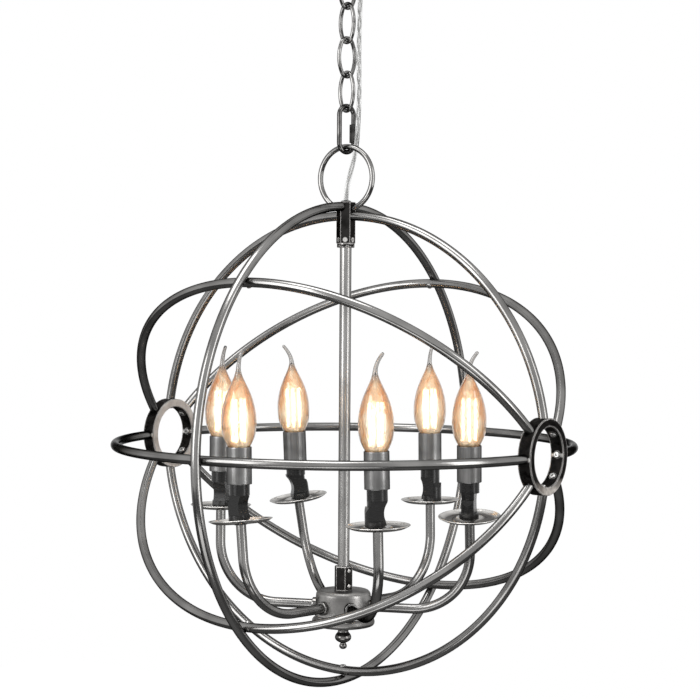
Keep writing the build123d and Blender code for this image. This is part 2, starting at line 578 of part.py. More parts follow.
# Drip pans: shallow dishes with a channel round a raised seat and a rolled rim
seat_r = PAN_SEAT_D / 2
pan_r = PAN_D / 2
rim = PAN_DEPTH - PAN_CHANNEL
pan = turned([
    (ARM_OD / 2 + FIT_GAP, 0),
    (seat_r, 0),
    (seat_r + 2.0, -0.3 * PAN_CHANNEL),
    (seat_r + 5.0, -PAN_CHANNEL),
    (seat_r + 9.5, -PAN_CHANNEL),
    (pan_r - 5.0, 0.25 * PAN_DEPTH - PAN_CHANNEL),
    (pan_r - 1.2, 0.7 * PAN_DEPTH - PAN_CHANNEL),
    (pan_r, 0.86 * PAN_DEPTH - PAN_CHANNEL),
    (pan_r, rim),
    (pan_r - 0.9, rim + 0.4),
    (pan_r - 1.9, rim),
    (pan_r - 5.4, 0.25 * PAN_DEPTH - PAN_CHANNEL + PAN_T),
    (seat_r + 9.5, PAN_T - PAN_CHANNEL),
    (seat_r + 5.3, PAN_T - PAN_CHANNEL),
    (seat_r + 2.4, PAN_T - 0.3 * PAN_CHANNEL),
    (seat_r + 0.4, PAN_T),
    (ARM_OD / 2 + FIT_GAP, PAN_T),
])
parts["drip_pans"] = Compound(children=[on_candle(count, pan) for count in range(ARM_COUNT)])

# Lampholders: set-back foot, hooked neck, head and the socket that the sleeve hides
foot_top = PAN_T + 0.14 * HOLDER_H
lean_z = PAN_T + 0.45 * HOLDER_H
head_low = PAN_T + 0.70 * HOLDER_H
sleeve_low = PAN_T + HOLDER_H
sleeve_top = sleeve_low + SLEEVE_H
holder_r = HOLDER_D / 2
foot_r = 0.97 * holder_r
socket_r = SLEEVE_D / 2 - SLEEVE_WALL - 2 * FIT_GAP
shell_r = BASE_D / 2 + TURN_GAP + SHELL_WALL
shell_low = sleeve_low + 0.17 * SLEEVE_H
shell_top = sleeve_top - 9.0


def on_head(count, part):
    """Tilts a piece of a candle with its lampholder's head, and puts it on its arm."""
    tilt = Pos(0, 0, lean_z) * Rot(CANDLE_LEANS[count], 0, 0) * Pos(0, 0, -lean_z)
    return on_candle(count, tilt * part)


with BuildSketch(Plane.YZ) as neck_sketch:
    with BuildLine():
        neck_low = Line((-foot_r - FOOT_SET_BACK, PAN_T + 1), (foot_r - FOOT_SET_BACK, PAN_T + 1))
        toe = Line(neck_low @ 1, (foot_r - FOOT_SET_BACK - 0.6, foot_top))
        hook = ThreePointArc(
            toe @ 1,
            (0.46 * holder_r, 0.6 * lean_z + 0.4 * foot_top),
            (0.97 * holder_r, head_low),
        )
        neck_high = Polyline(hook @ 1, (0.97 * holder_r, head_low + 2), (-0.97 * holder_r, head_low + 2))
        back = Polyline(
            neck_high @ 1,
            (-0.97 * holder_r, 0.5 * (lean_z + head_low)),
            (-foot_r - FOOT_SET_BACK, 0.85 * lean_z),
            neck_low @ 0,
        )
    make_face()
neck = extrude(neck_sketch.sketch, 0.63 * holder_r, both=True)
foot_axis = Pos(0, -FOOT_SET_BACK, 0)
neck &= ring_of(holder_r, 0, 0, sleeve_low) + foot_axis * ring_of(foot_r, 0, 0, lean_z + 3)
foot = foot_axis * ring_of(foot_r, 0, PAN_T, foot_top) + neck
foot -= ring_of(ARM_OD / 2 + FIT_GAP, 0, PAN_T - 1, arm_end - ARM_RISE + 0.5)
head = ring_of(holder_r, 0, head_low, sleeve_low) + ring_of(socket_r, 0, sleeve_low, shell_top)
head -= ring_of(shell_r + FIT_GAP, 0, shell_low - 0.5, shell_top + 1)
holders = [on_candle(count, foot) + on_head(count, head) for count in range(ARM_COUNT)]
parts["lampholders"] = Compound(children=holders)

# Candle sleeves, and the threaded shells in the sockets
sleeve = ring_of(SLEEVE_D / 2, SLEEVE_D / 2 - SLEEVE_WALL, sleeve_low, sleeve_top)
parts["candle_sleeves"] = Compound(children=[on_head(count, sleeve) for count in range(ARM_COUNT)])
shell = ring_of(shell_r, 0, shell_low - 0.5, shell_top)
shell -= ring_of(shell_r - SHELL_WALL, 0, shell_low, shell_top + 1)
parts["socket_shells"] = Compound(children=[on_head(count, shell) for count in range(ARM_COUNT)])

# Bulb bases: screw cap with the stem and four filament sticks above it
base_r = BASE_D / 2
seat = shell_top + 0.5
cap = [(0, shell_low + 0.2), (0.36 * base_r, shell_low + 0.2), (0.4 * base_r, shell_low + 1.2)]
cap += [(0.62 * base_r, shell_low + 2.0), (0.92 * base_r, shell_low + 3.6)]
crest = shell_low + 4.4
while crest < seat - 3.2:
    cap += [(base_r, crest), (base_r, crest + 0.9), (0.92 * base_r, crest + 1.4)]
    crest += 2.3
cap += [(base_r, seat - 1.6), (base_r, seat - 0.4), (base_r + 1.2, seat), (base_r + 1.2, seat + 1)]
cap += [(0.46 * base_r, seat + 1), (0.4 * base_r, seat + 0.27 * BULB_H), (0, seat + 0.27 * BULB_H)]
base = turned(cap)
for turn in range(0, 360, 90):
    stick = Pos(0, 0, 0.24 * BULB_H) * Cylinder(0.9, 0.52 * BULB_H)
    lead = Pos(0.09 * BULB_D, 0, 0) * Box(0.18 * BULB_D, 1.0, 1.0)
    spray = Pos(0.18 * BULB_D, 0, 0) * stick + lead
    base += Pos(0, 0, seat + 0.25 * BULB_H) * Rot(0, 0, turn) * spray

# Bulb glass: thin flame-shaped envelope that ends in a bent solid tail
glass_low = seat + 1
glass_r = base_r + 1.2
widest = BULB_D / 2
mouth = SLEEVE_D / 2 - SLEEVE_WALL - 0.45
tail_r = 0.08 * BULB_D
outer_profile = [
    (glass_r, glass_low),
    (0.5 * (glass_r + mouth), sleeve_top - 3.2),
    (mouth, sleeve_top + 0.4),
    (0.885 * widest, sleeve_top + 0.13 * BULB_H),
    (widest, sleeve_top + 0.34 * BULB_H),
    (0.925 * widest, sleeve_top + 0.52 * BULB_H),
    (0.73 * widest, sleeve_top + 0.68 * BULB_H),
    (0.48 * widest, sleeve_top + 0.82 * BULB_H),
    (0.25 * widest, sleeve_top + 0.93 * BULB_H),
    (tail_r, sleeve_top + BULB_H),
]
inner_profile = [(r - 0.8, z + (0.2 if z > sleeve_top else 0)) for r, z in outer_profile[:-1]]
inner_profile[-1] = (0.0, sleeve_top + 0.94 * BULB_H)
with BuildSketch(Plane.XZ) as glass_sketch:
    with BuildLine():
        outer_line = Spline(outer_profile)
        crown = Line(outer_line @ 1, (0, sleeve_top + BULB_H))
        axis_line = Line(crown @ 1, inner_profile[-1])
        inner_line = Spline(list(reversed(inner_profile)))
        Line(inner_line @ 1, outer_line @ 0)
    make_face()
glass = revolve(glass_sketch.sketch, Axis.Z)
tail_path = Spline(
    (0, 0, sleeve_top + BULB_H),
    (0.3 * BULB_TAIL_LEAN, 0, sleeve_top + BULB_H + 0.55 * BULB_TAIL),
    (BULB_TAIL_LEAN, 0, sleeve_top + BULB_H + BULB_TAIL),
    tangents=((0, 0, 1), (0.8, 0, 1)),
)
tail_end = 0.62 * tail_r
tail_sections = [
    Plane(origin=tail_path @ 0, z_dir=tail_path % 0) * Circle(tail_r),
    Plane(origin=tail_path @ 1, z_dir=tail_path % 1) * Circle(tail_end),
]
glass += sweep(tail_sections, path=tail_path, multisection=True)
glass += Pos(*(tail_path @ 1)) * Sphere(tail_end)
for count in range(ARM_COUNT):
    turn = TIP_TURNS[count] - arm_angles[count]
    parts[f"bulb_base_{count + 1}"] = on_head(count, Rot(0, 0, turn) * base)
    parts[f"bulb_glass_{count + 1}"] = on_head(count, Rot(0, 0, turn) * glass)

os.makedirs("parts", exist_ok=True)
for name, part in parts.items():
    export_step(Pos(0, 0, -ceiling) * part, f"parts/{name}.step")
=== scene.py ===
from math import asin, atan2, cos, pi, radians, sin, sqrt

import bmesh
import bpy
from mathutils import Matrix, Vector


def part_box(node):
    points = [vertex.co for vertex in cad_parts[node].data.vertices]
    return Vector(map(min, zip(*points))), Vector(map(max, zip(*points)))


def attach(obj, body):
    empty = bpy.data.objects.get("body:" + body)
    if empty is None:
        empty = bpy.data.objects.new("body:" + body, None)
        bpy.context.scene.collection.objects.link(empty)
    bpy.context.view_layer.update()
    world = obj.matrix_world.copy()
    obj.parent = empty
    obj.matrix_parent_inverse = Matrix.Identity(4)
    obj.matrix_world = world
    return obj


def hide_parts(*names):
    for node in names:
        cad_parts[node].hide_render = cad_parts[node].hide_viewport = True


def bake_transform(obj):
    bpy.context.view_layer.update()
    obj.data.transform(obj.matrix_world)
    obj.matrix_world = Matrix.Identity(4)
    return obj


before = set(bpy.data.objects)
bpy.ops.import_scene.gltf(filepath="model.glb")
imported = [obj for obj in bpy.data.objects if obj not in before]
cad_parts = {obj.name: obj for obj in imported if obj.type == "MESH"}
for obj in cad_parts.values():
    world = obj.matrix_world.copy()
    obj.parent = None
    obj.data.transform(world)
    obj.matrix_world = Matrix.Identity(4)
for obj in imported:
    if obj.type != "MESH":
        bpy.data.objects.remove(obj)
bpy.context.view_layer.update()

# Photographer's place: a long lens a little above the middle of the orb, two metres away.
# The orb's centre is where the two side hubs are level, on the axis of the stem.
hub_low, hub_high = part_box("hub_right")
ORB_CENTRE = Vector((0, 0, (hub_low.z + hub_high.z) / 2))
CAMERA_AZIMUTH = radians(34.36)
CAMERA_HEIGHT = radians(4.8507)
CAMERA_DISTANCE = 1.989
CAMERA_LENS = 98.95
CAMERA_TILT = radians(2.7958)
CAMERA_PAN = radians(0.1481)
CAMERA_ROLL = radians(0.3821)

to_camera = Vector((
    sin(CAMERA_AZIMUTH) * cos(CAMERA_HEIGHT),
    -cos(CAMERA_AZIMUTH) * cos(CAMERA_HEIGHT),
    sin(CAMERA_HEIGHT),
))
level_right = Vector((cos(CAMERA_AZIMUTH), sin(CAMERA_AZIMUTH), 0))
aim = Matrix((level_right, to_camera.cross(level_right), to_camera)).transposed()
aim = aim @ Matrix.Rotation(CAMERA_TILT, 3, "X")
aim = aim @ Matrix.Rotation(-CAMERA_PAN, 3, "Y")
aim = aim @ Matrix.Rotation(CAMERA_ROLL, 3, "Z")
camera_data = bpy.data.cameras.new("camera")
camera_data.lens = CAMERA_LENS
camera = bpy.data.objects.new("camera", camera_data)
camera.matrix_world = Matrix.Translation(ORB_CENTRE + CAMERA_DISTANCE * to_camera) @ aim.to_4x4()
bpy.context.scene.collection.objects.link(camera)
bpy.context.scene.camera = camera
bpy.context.scene.view_settings.view_transform = "Standard"

# Studio: a plain pale floor a room's height below the ceiling plate, and a white surround that metal
# and glass show too. Soft boxes stand overhead, upright at each side and low in front; the camera sees
# them in reflections alone.
FLOOR_DEPTH = 2.4
FLOOR_HALF = 6.0
FLOOR_SHADE = (0.31, 0.31, 0.31, 1)
FLOOR_PALE = (0.36, 0.36, 0.36, 1)
FLOOR_WHITE = 0.92
SURROUND_LIGHT = 0.35
WHITE = (1, 1, 1, 1)


def node(tree, kind, inputs=None, **settings):
    """Adds a shader node; an input given as a socket is linked, any other value is set."""
    made = tree.nodes.new(kind)
    for key, value in settings.items():
        setattr(made, key, value)
    for socket, value in (inputs or {}).items():
        if isinstance(value, bpy.types.NodeSocket):
            tree.links.new(value, made.inputs[socket])
        else:
            made.inputs[socket].default_value = value
    return made


def calc(tree, operation, *values, clamp=False):
    """Result of one sum."""
    made = node(tree, "ShaderNodeMath", dict(enumerate(values)), operation=operation, use_clamp=clamp)
    return made.outputs[0]


def ranged(tree, value, start, end, low=0.0, high=1.0):
    """A value carried from the range start to end over to the range low to high, and kept in it."""
    made = node(tree, "ShaderNodeMapRange", {
        "Value": value, "From Min": start, "From Max": end, "To Min": low, "To Max": high})
    return made.outputs["Result"]


def mixed(tree, share, first, second):
    """Colour between two others."""
    return node(tree, "ShaderNodeMix", {"Factor": share, "A": first, "B": second},
                data_type="RGBA").outputs["Result"]


def noise(tree, scale, detail=2.0):
    """Soft random clouds."""
    return node(tree, "ShaderNodeTexNoise", {"Scale": scale, "Detail": detail}).outputs["Fac"]


def shader_tree(name):
    """New material with nothing in it but its output node."""
    made = bpy.data.materials.new(name)
    made.use_nodes = True
    made.node_tree.nodes.clear()
    return made, made.node_tree, node(made.node_tree, "ShaderNodeOutputMaterial")


floor_mesh = bpy.data.meshes.new("floor")
floor_corners = [(x * FLOOR_HALF, y * FLOOR_HALF, -FLOOR_DEPTH)
                 for x, y in ((-1, -1), (1, -1), (1, 1), (-1, 1))]
floor_mesh.from_pydata(floor_corners, [], [(0, 1, 2, 3)])
floor = bpy.data.objects.new("floor", floor_mesh)
bpy.context.scene.collection.objects.link(floor)
floor_paint, tree, out = shader_tree("floor_paint")
path = node(tree, "ShaderNodeLightPath").outputs
seen = calc(tree, "MAXIMUM", path["Is Camera Ray"], path["Is Transmission Ray"])
tint = mixed(tree, noise(tree, 1.5), FLOOR_SHADE, FLOOR_PALE)
lit = node(tree, "ShaderNodeBsdfDiffuse", {"Color": tint})
glow = node(tree, "ShaderNodeEmission", {
    "Color": WHITE, "Strength": calc(tree, "MULTIPLY", seen, FLOOR_WHITE)})
both = node(tree, "ShaderNodeAddShader", {0: lit.outputs[0], 1: glow.outputs[0]})
tree.links.new(both.outputs[0], out.inputs["Surface"])
floor_mesh.materials.append(floor_paint)

world = bpy.data.worlds.new("studio")
world.use_nodes = True
bpy.context.scene.world = world
tree = world.node_tree
tree.nodes.clear()
path = node(tree, "ShaderNodeLightPath").outputs
seen = calc(tree, "MAXIMUM", path["Is Camera Ray"], path["Is Transmission Ray"])
shown = calc(tree, "MAXIMUM", seen, path["Is Glossy Ray"])
surround = node(tree, "ShaderNodeBackground", {
    "Color": WHITE, "Strength": ranged(tree, shown, 0.0, 1.0, SURROUND_LIGHT, 1.0)})
node(tree, "ShaderNodeOutputWorld", {"Surface": surround.outputs[0]})

toward_lens = Vector((to_camera.x, to_camera.y, 0)).normalized()


def soft_box(name, right, up, forward, width, height, watts):
    """Area lamp placed from the orb's centre along the camera's axes and aimed at the orb."""
    lamp = bpy.data.lights.new(name, "AREA")
    lamp.shape = "RECTANGLE"
    lamp.size = width
    lamp.size_y = height
    lamp.energy = watts
    made = bpy.data.objects.new(name, lamp)
    offset = right * level_right + forward * toward_lens + Vector((0, 0, up))
    made.location = ORB_CENTRE + offset
    made.rotation_euler = (-offset).to_track_quat("-Z", "Y").to_euler()
    made.visible_camera = made.visible_transmission = False
    bpy.context.scene.collection.objects.link(made)


soft_box("top_box", right=-0.3, up=1.7, forward=0.4, width=1.2, height=0.8, watts=18)
soft_box("left_strip", right=-1.35, up=0.5, forward=1.1, width=0.8, height=1.4, watts=18)
soft_box("right_strip", right=1.5, up=0.3, forward=0.95, width=0.5, height=1.7, watts=12)
soft_box("low_strip", right=-0.3, up=-0.95, forward=1.2, width=1.5, height=0.5, watts=6)

# Cord: clear flexible two-core cable from the hexagonal coupling up beside the chain to the
# ceiling fitting. It hangs loosely from link to link, so it is cut at the middle of each link.
CORD_D = 0.005
CORD_SIDES = 20
CORE_D = 0.0013
CORE_SIDES = 10
CORE_OFFSET = 0.00095
CORD_ROUTE = [
    (0.0, 0.0, -0.286054),
    (0.0, 0.0, -0.270019),
    (0.0045, 0.0032, -0.248638),
    (0.0082, 0.0063, -0.228060),
    (0.0104, 0.0060, -0.201869),
    (0.0113, 0.0066, -0.169799),
    (0.0105, 0.0059, -0.136392),
    (0.0110, 0.0062, -0.100313),
    (0.0115, 0.0069, -0.064233),
    (0.0131, 0.0073, -0.035637),
    (0.0131, 0.0073, -0.018800),
]
CORD_LINKS = ["quick_link", "chain_link_1", "chain_link_2", "chain_link_3", "chain_link_4"]
CUT_CLEARANCE = 0.0008
BEND_START = 0.12
BEND_END = 0.88
SHARP_ANGLE = radians(35)


def spline_points(name, route):
    """Points along a smooth open spline with the route's points as its controls."""
    curve = bpy.data.curves.new(name, "CURVE")
    curve.dimensions = "3D"
    curve.resolution_u = 16
    spline = curve.splines.new("NURBS")
    spline.points.add(len(route) - 1)
    for point, place in zip(spline.points, route):
        point.co = (*place, 1)
    spline.order_u = 3
    spline.use_endpoint_u = True
    holder = bpy.data.objects.new(name, curve)
    mesh = bpy.data.meshes.new_from_object(holder)
    points = [v.co.copy() for v in mesh.vertices]
    bpy.data.meshes.remove(mesh)
    bpy.data.curves.remove(curve)
    return points


def at_height(points, z):
    """Point of a rising line at a height."""
    for below, above in zip(points, points[1:]):
        if below.z <= z <= above.z:
            return below.lerp(above, (z - below.z) / (above.z - below.z))


def along(points):
    """Unit direction of a line of points at each of them."""
    ends = zip([points[0], *points[:-1]], [*points[1:], points[-1]])
    return [(after - before).normalized() for before, after in ends]


def tube(name, points, radius, sides, capped=True, offset=0.0, turns=0.0):
    """Round tube along a line; with an offset it winds round the line by a number of turns."""
    ways = along(points)
    side = ways[0].orthogonal().normalized()
    mesh = bmesh.new()
    rings = []
    for count, (point, way) in enumerate(zip(points, ways)):
        side = (side - side.dot(way) * way).normalized()
        up = way.cross(side)
        wind = 2 * pi * turns * count / (len(points) - 1)
        middle = point + offset * (cos(wind) * side + sin(wind) * up)
        angles = [2 * pi * step / sides for step in range(sides)]
        rings.append([mesh.verts.new(middle + radius * (cos(a) * side + sin(a) * up)) for a in angles])
    for lower, upper in zip(rings, rings[1:]):
        for step in range(sides):
            after = (step + 1) % sides
            mesh.faces.new((lower[step], lower[after], upper[after], upper[step]))
    if capped:
        mesh.faces.new(reversed(rings[0]))
        mesh.faces.new(rings[-1])
    data = bpy.data.meshes.new(name)
    mesh.to_mesh(data)
    mesh.free()
    return data


def joined(name, *meshes):
    """One mesh made of several."""
    mesh = bmesh.new()
    for data in meshes:
        mesh.from_mesh(data)
    made = bpy.data.meshes.new(name)
    mesh.to_mesh(made)
    mesh.free()
    return made


def piece(name, data, finish, slot, place=None):
    """Object made from a mesh, with its finish; edges sharper than a soft bend stay crisp."""
    data.shade_smooth()
    data.set_sharp_from_angle(angle=SHARP_ANGLE)
    if not data.materials:
        data.materials.append(finish)
    made = bpy.data.objects.new(name, data)
    bpy.context.scene.collection.objects.link(made)
    if place is not None:
        made.matrix_world = place
    return made


def bumps(tree, height, strength, depth):
    """Normal of a surface with small bumps; the depth is in metres."""
    return node(tree, "ShaderNodeBump", {
        "Height": height, "Strength": strength, "Distance": depth}).outputs["Normal"]


def surface(tree, out, inputs):
    """Makes a principled surface the whole of a material."""
    skin = node(tree, "ShaderNodeBsdfPrincipled", inputs)
    tree.links.new(skin.outputs[0], out.inputs["Surface"])


clear_plastic, tree, out = shader_tree("clear_plastic")
haze = noise(tree, 260.0, 3.0)
surface(tree, out, {
    "Base Color": mixed(tree, haze, (0.80, 0.80, 0.795, 1), (0.97, 0.97, 0.965, 1)),
    "Roughness": ranged(tree, haze, 0.0, 1.0, 0.05, 0.16),
    "Transmission Weight": 0.96, "IOR": 1.39, "Normal": bumps(tree, haze, 0.08, 0.0004)})

tinned_core, tree, out = shader_tree("tinned_core")
strands = node(tree, "ShaderNodeTexWave", {"Scale": 900.0, "Distortion": 1.0}, bands_direction="DIAGONAL")
surface(tree, out, {
    "Base Color": mixed(tree, strands.outputs["Fac"], (0.48, 0.48, 0.47, 1), (0.74, 0.74, 0.73, 1)),
    "Metallic": 0.3, "Roughness": 0.42})

cord_line = spline_points("cord_route", CORD_ROUTE)
cuts = [cord_line[0].z]
for link in CORD_LINKS:
    link_low, link_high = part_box(link)
    cuts.append((link_low.z + link_high.z) / 2)
cuts.append(cord_line[-1].z)
for count, (low, high) in enumerate(zip(cuts, cuts[1:])):
    inner = [point for point in cord_line if low + CUT_CLEARANCE < point.z < high - CUT_CLEARANCE]
    first = cord_line[0] if count == 0 else at_height(cord_line, low)
    last = cord_line[-1] if high == cuts[-1] else at_height(cord_line, high)
    stretch = [first, *inner, last]
    length = sum((b - a).length for a, b in zip(stretch, stretch[1:]))
    jacket_mesh = tube("cord_jacket", stretch, CORD_D / 2, CORD_SIDES, capped=False)
    jacket = piece(f"cord_jacket_{count + 1}", jacket_mesh, clear_plastic, "clear_cord")
    core_mesh = joined("cord_core", *(
        tube("core", stretch, CORE_D / 2, CORE_SIDES, offset=offset, turns=1)
        for offset in (CORE_OFFSET, -CORE_OFFSET)))
    core = piece(f"cord_core_{count + 1}", core_mesh, tinned_core, "bright_steel")
    bend_low, bend_high = (stretch[0].lerp(stretch[-1], share) for share in (BEND_START, BEND_END))
    for part in (jacket, core):
        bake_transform(part)
        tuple(bend_low)
        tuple(bend_high)
    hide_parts("cord")
    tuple(stretch[0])

# Ceiling fitting: a bent steel strap on two ceiling screws, a shallow spun canopy painted pewter,
# and a cast eye whose threaded stem is clamped in the strap by two nuts. Black grommets guard the
# cord here and in the upper coupling.
MM = 0.001
LATHE_SIDES = 80
CANOPY_OUTLINE = [
    (5.1, 0.0), (21.0, 0.0), (28.0, 0.8), (42.5, 3.9), (53.0, 11.0), (57.4, 19.0), (58.0, 23.0),
    (58.0, 25.2), (57.6, 26.0)]
CANOPY_WALL = 1.2


def node_group(name, inputs, outputs):
    """Empty shader node group with its named sockets, its given values and its output node."""
    tree = bpy.data.node_groups.new(name, "ShaderNodeTree")
    for socket, kind, value in inputs:
        made = tree.interface.new_socket(socket, in_out="INPUT", socket_type="NodeSocket" + kind)
        made.default_value = value
    for socket, kind in outputs:
        tree.interface.new_socket(socket, in_out="OUTPUT", socket_type="NodeSocket" + kind)
    return tree, node(tree, "NodeGroupInput").outputs, node(tree, "NodeGroupOutput")


def placed(tree, group, inputs):
    """What a node group gives in a material, from its own values there."""
    return node(tree, "ShaderNodeGroup", inputs, node_tree=group).outputs


def own_place(tree):
    """Place on a piece in the piece's own axes, in metres."""
    return node(tree, "ShaderNodeTexCoord").outputs["Object"]


def split(tree, vector):
    """X, Y and Z of a vector."""
    return node(tree, "ShaderNodeSeparateXYZ", {0: vector}).outputs


def length_of(tree, vector):
    """Length of a vector."""
    return node(tree, "ShaderNodeVectorMath", {0: vector}, operation="LENGTH").outputs["Value"]


# Brush marks: long fine lines at right angles to the Across value, which is in metres
brush_marks, given, result = node_group(
    "brush_marks",
    [("Across", "Float", 0.0), ("Density", "Float", 160.0), ("Length", "Float", 9.0)],
    [("Mask", "Float")])
lines = node(brush_marks, "ShaderNodeTexNoise", {
    "Vector": own_place(brush_marks), "W": calc(brush_marks, "MULTIPLY", given["Across"], given["Density"]),
    "Scale": given["Length"], "Detail": 4.0, "Roughness": 0.7}, noise_dimensions="4D")
brush_marks.links.new(lines.outputs["Fac"], result.inputs["Mask"])

# Tarnish: cloudy dark patches over the clean metal, finer with more Grain
tarnish, given, result = node_group(
    "tarnish",
    [("Clean", "Color", (0.4, 0.4, 0.4, 1)), ("Dark", "Color", (0.1, 0.1, 0.1, 1)), ("Size", "Float", 30.0),
     ("Amount", "Float", 0.6), ("Grain", "Float", 1.0)],
    [("Color", "Color"), ("Mask", "Float")])
cloud = node(tarnish, "ShaderNodeTexNoise", {
    "Vector": own_place(tarnish), "Scale": given["Size"], "Detail": given["Grain"], "Roughness": 0.55})
mask = calc(tarnish, "MULTIPLY", ranged(tarnish, cloud.outputs["Fac"], 0.36, 0.68), given["Amount"])
tarnish.links.new(mixed(tarnish, mask, given["Clean"], given["Dark"]), result.inputs["Color"])
tarnish.links.new(mask, result.inputs["Mask"])

BRUSH_BAND = (0.3, 0.7)
BRUSH_SHADE = (0.72, 1.12)
BRUSH_DEPTH = 0.0003
TARNISH_DULL = 0.12


def from_axis(tree, place):
    """Distance from the Z axis of a place given as X, Y and Z."""
    flat = node(tree, "ShaderNodeCombineXYZ", {"X": place["X"], "Y": place["Y"]})
    return length_of(tree, flat.outputs[0])


def turned_marks(tree):
    """Across value of a piece turned on a lathe: distance from the axis plus height."""
    place = split(tree, own_place(tree))
    return calc(tree, "ADD", from_axis(tree, place), place["Z"])


def brushed_metal(name, across, clean, dark, smooth, rough, density=160.0, patch=30.0, amount=0.6,
                  edge=0.35):
    """Brushed and slightly tarnished metal; edge is how bright it is at a glancing angle."""
    made, tree, out = shader_tree(name)
    marks = placed(tree, brush_marks, {"Across": across(tree), "Density": density})["Mask"]
    age = placed(tree, tarnish, {"Clean": clean, "Dark": dark, "Size": patch, "Amount": amount})
    shade = ranged(tree, marks, *BRUSH_BAND, *BRUSH_SHADE)
    tone = node(tree, "ShaderNodeVectorMath", {0: age["Color"], "Scale": shade}, operation="SCALE")
    gloss = ranged(tree, marks, *BRUSH_BAND, rough, smooth)
    surface(tree, out, {
        "Base Color": tone.outputs[0], "Metallic": 1.0,
        "Roughness": calc(tree, "MULTIPLY_ADD", age["Mask"], TARNISH_DULL, gloss),
        "Specular Tint": (edge, edge, edge, 1), "Normal": bumps(tree, marks, 0.05, BRUSH_DEPTH)})
    return made


def skin_over(name, rings, closed=False):
    """Mesh through a row of rings of points; a ring of one point closes an end."""
    mesh = bmesh.new()
    rows = [[mesh.verts.new(point) for point in ring] for ring in rings]
    pairs = list(zip(rows, rows[1:]))
    if closed:
        pairs.append((rows[-1], rows[0]))
    for lower, upper in pairs:
        count = max(len(lower), len(upper))
        for step in range(count):
            after = (step + 1) % count
            corners = [lower[step % len(lower)], lower[after % len(lower)],
                       upper[after % len(upper)], upper[step % len(upper)]]
            mesh.faces.new(list(dict.fromkeys(corners)))
    bmesh.ops.recalc_face_normals(mesh, faces=mesh.faces)
    data = bpy.data.meshes.new(name)
    mesh.to_mesh(data)
    mesh.free()
    return data


def circle(radius, height, sides=LATHE_SIDES):
    """Ring of points round Z, or the one point on the axis; radius and height in millimetres."""
    if radius < 1e-6:
        return [Vector((0, 0, height * MM))]
    angles = [2 * pi * step / sides for step in range(sides)]
    return [Vector((radius * cos(a), radius * sin(a), height)) * MM for a in angles]


def lathe(name, outline, closed=False, sides=LATHE_SIDES):
    """Piece turned about Z from an outline of (radius, height) in millimetres."""
    return skin_over(name, [circle(radius, height, sides) for radius, height in outline], closed)


def through(points, steps=6):
    """Smooth outline through the given points; a point given twice is a sharp corner."""
    line = [points[0]]
    padded = [points[0], *points, points[-1]]
    for a, b, c, d in zip(padded, padded[1:], padded[2:], padded[3:]):
        if b == c:
            continue
        for step in range(1, steps + 1):
            t = step / steps
            line.append(tuple(
                b[k] + 0.5 * t * (c[k] - a[k] + t * (2 * a[k] - 5 * b[k] + 4 * c[k] - d[k]
                                                     + t * (3 * (b[k] - c[k]) + d[k] - a[k])))
                for k in (0, 1)))
    return line


def inset(outline, wall):
    """Line that runs inside an outline by the thickness of a wall."""
    ways = along([Vector((r, z, 0)) for r, z in outline])
    return [(r - wall * way.y, z + wall * way.x) for (r, z), way in zip(outline, ways)]


def dress(finish, *names):
    """Gives nodes their finish."""
    for name in names:
        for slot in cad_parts[name].material_slots:
            slot.material = finish


canopy_paint = brushed_metal("canopy_paint", turned_marks, clean=(0.30, 0.29, 0.28, 1),
                             dark=(0.15, 0.145, 0.14, 1), smooth=0.30, rough=0.42, density=240.0)
plated_steel = brushed_metal("plated_steel", turned_marks, clean=(0.55, 0.54, 0.52, 1),
                             dark=(0.30, 0.29, 0.27, 1), smooth=0.22, rough=0.36, patch=120.0)
canopy_low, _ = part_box("canopy_cover")
canopy_line = through(CANOPY_OUTLINE)
canopy_mesh = lathe("canopy", [*canopy_line, *reversed(inset(canopy_line, CANOPY_WALL))], closed=True)
canopy = piece("canopy", canopy_mesh, canopy_paint, "canopy_paint", Matrix.Translation((0, 0, canopy_low.z)))
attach(canopy, "ceiling")
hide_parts("canopy_cover")
dress(plated_steel, "ceiling_strap", "canopy_nuts")

moulded_black, tree, out = shader_tree("moulded_black")
flow = noise(tree, 60.0, 4.0)
surface(tree, out, {
    "Base Color": mixed(tree, flow, (0.006, 0.006, 0.006, 1), (0.020, 0.0195, 0.019, 1)),
    "Roughness": ranged(tree, flow, 0.0, 1.0, 0.16, 0.36), "Specular IOR Level": 0.28,
    "Normal": bumps(tree, noise(tree, 900.0, 3.0), 0.06, 0.0003)})
dress(moulded_black, "canopy_grommet", "cord_grommet")

# Chain: four bent oval links of dark nickelled wire with open butt seams, a quick link with its
# sleeve nut, the cast eye above and the welded ring below. Bright on the bends, dark between.
WIRE_SLANT = (0.7, 0.6, 0.2)


def cross_marks(tree):
    """Across value for drawn wire: a slanting mix of the three directions."""
    return node(tree, "ShaderNodeVectorMath", {0: own_place(tree), 1: WIRE_SLANT},
                operation="DOT_PRODUCT").outputs["Value"]


chain_nickel = brushed_metal("chain_nickel", cross_marks, clean=(0.30, 0.296, 0.29, 1),
                             dark=(0.02, 0.0195, 0.019, 1), smooth=0.08, rough=0.16, density=100.0,
                             patch=90.0, amount=0.7, edge=0.02)
dark_nickel = brushed_metal("dark_nickel", cross_marks, clean=(0.14, 0.137, 0.134, 1),
                            dark=(0.012, 0.0117, 0.0114, 1), smooth=0.08, rough=0.16, density=100.0,
                            patch=90.0, amount=0.8, edge=0.06)
ring_nickel = brushed_metal("ring_nickel", cross_marks, clean=(0.27, 0.266, 0.26, 1),
                            dark=(0.06, 0.0585, 0.057, 1), smooth=0.08, rough=0.16, density=100.0,
                            patch=50.0, amount=0.5, edge=0.02)
dress(chain_nickel, "chain_link_1", "chain_link_2", "chain_link_3", "chain_link_4", "canopy_loop")
dress(dark_nickel, "quick_link", "quick_link_nut")
dress(ring_nickel, "hanging_ring")

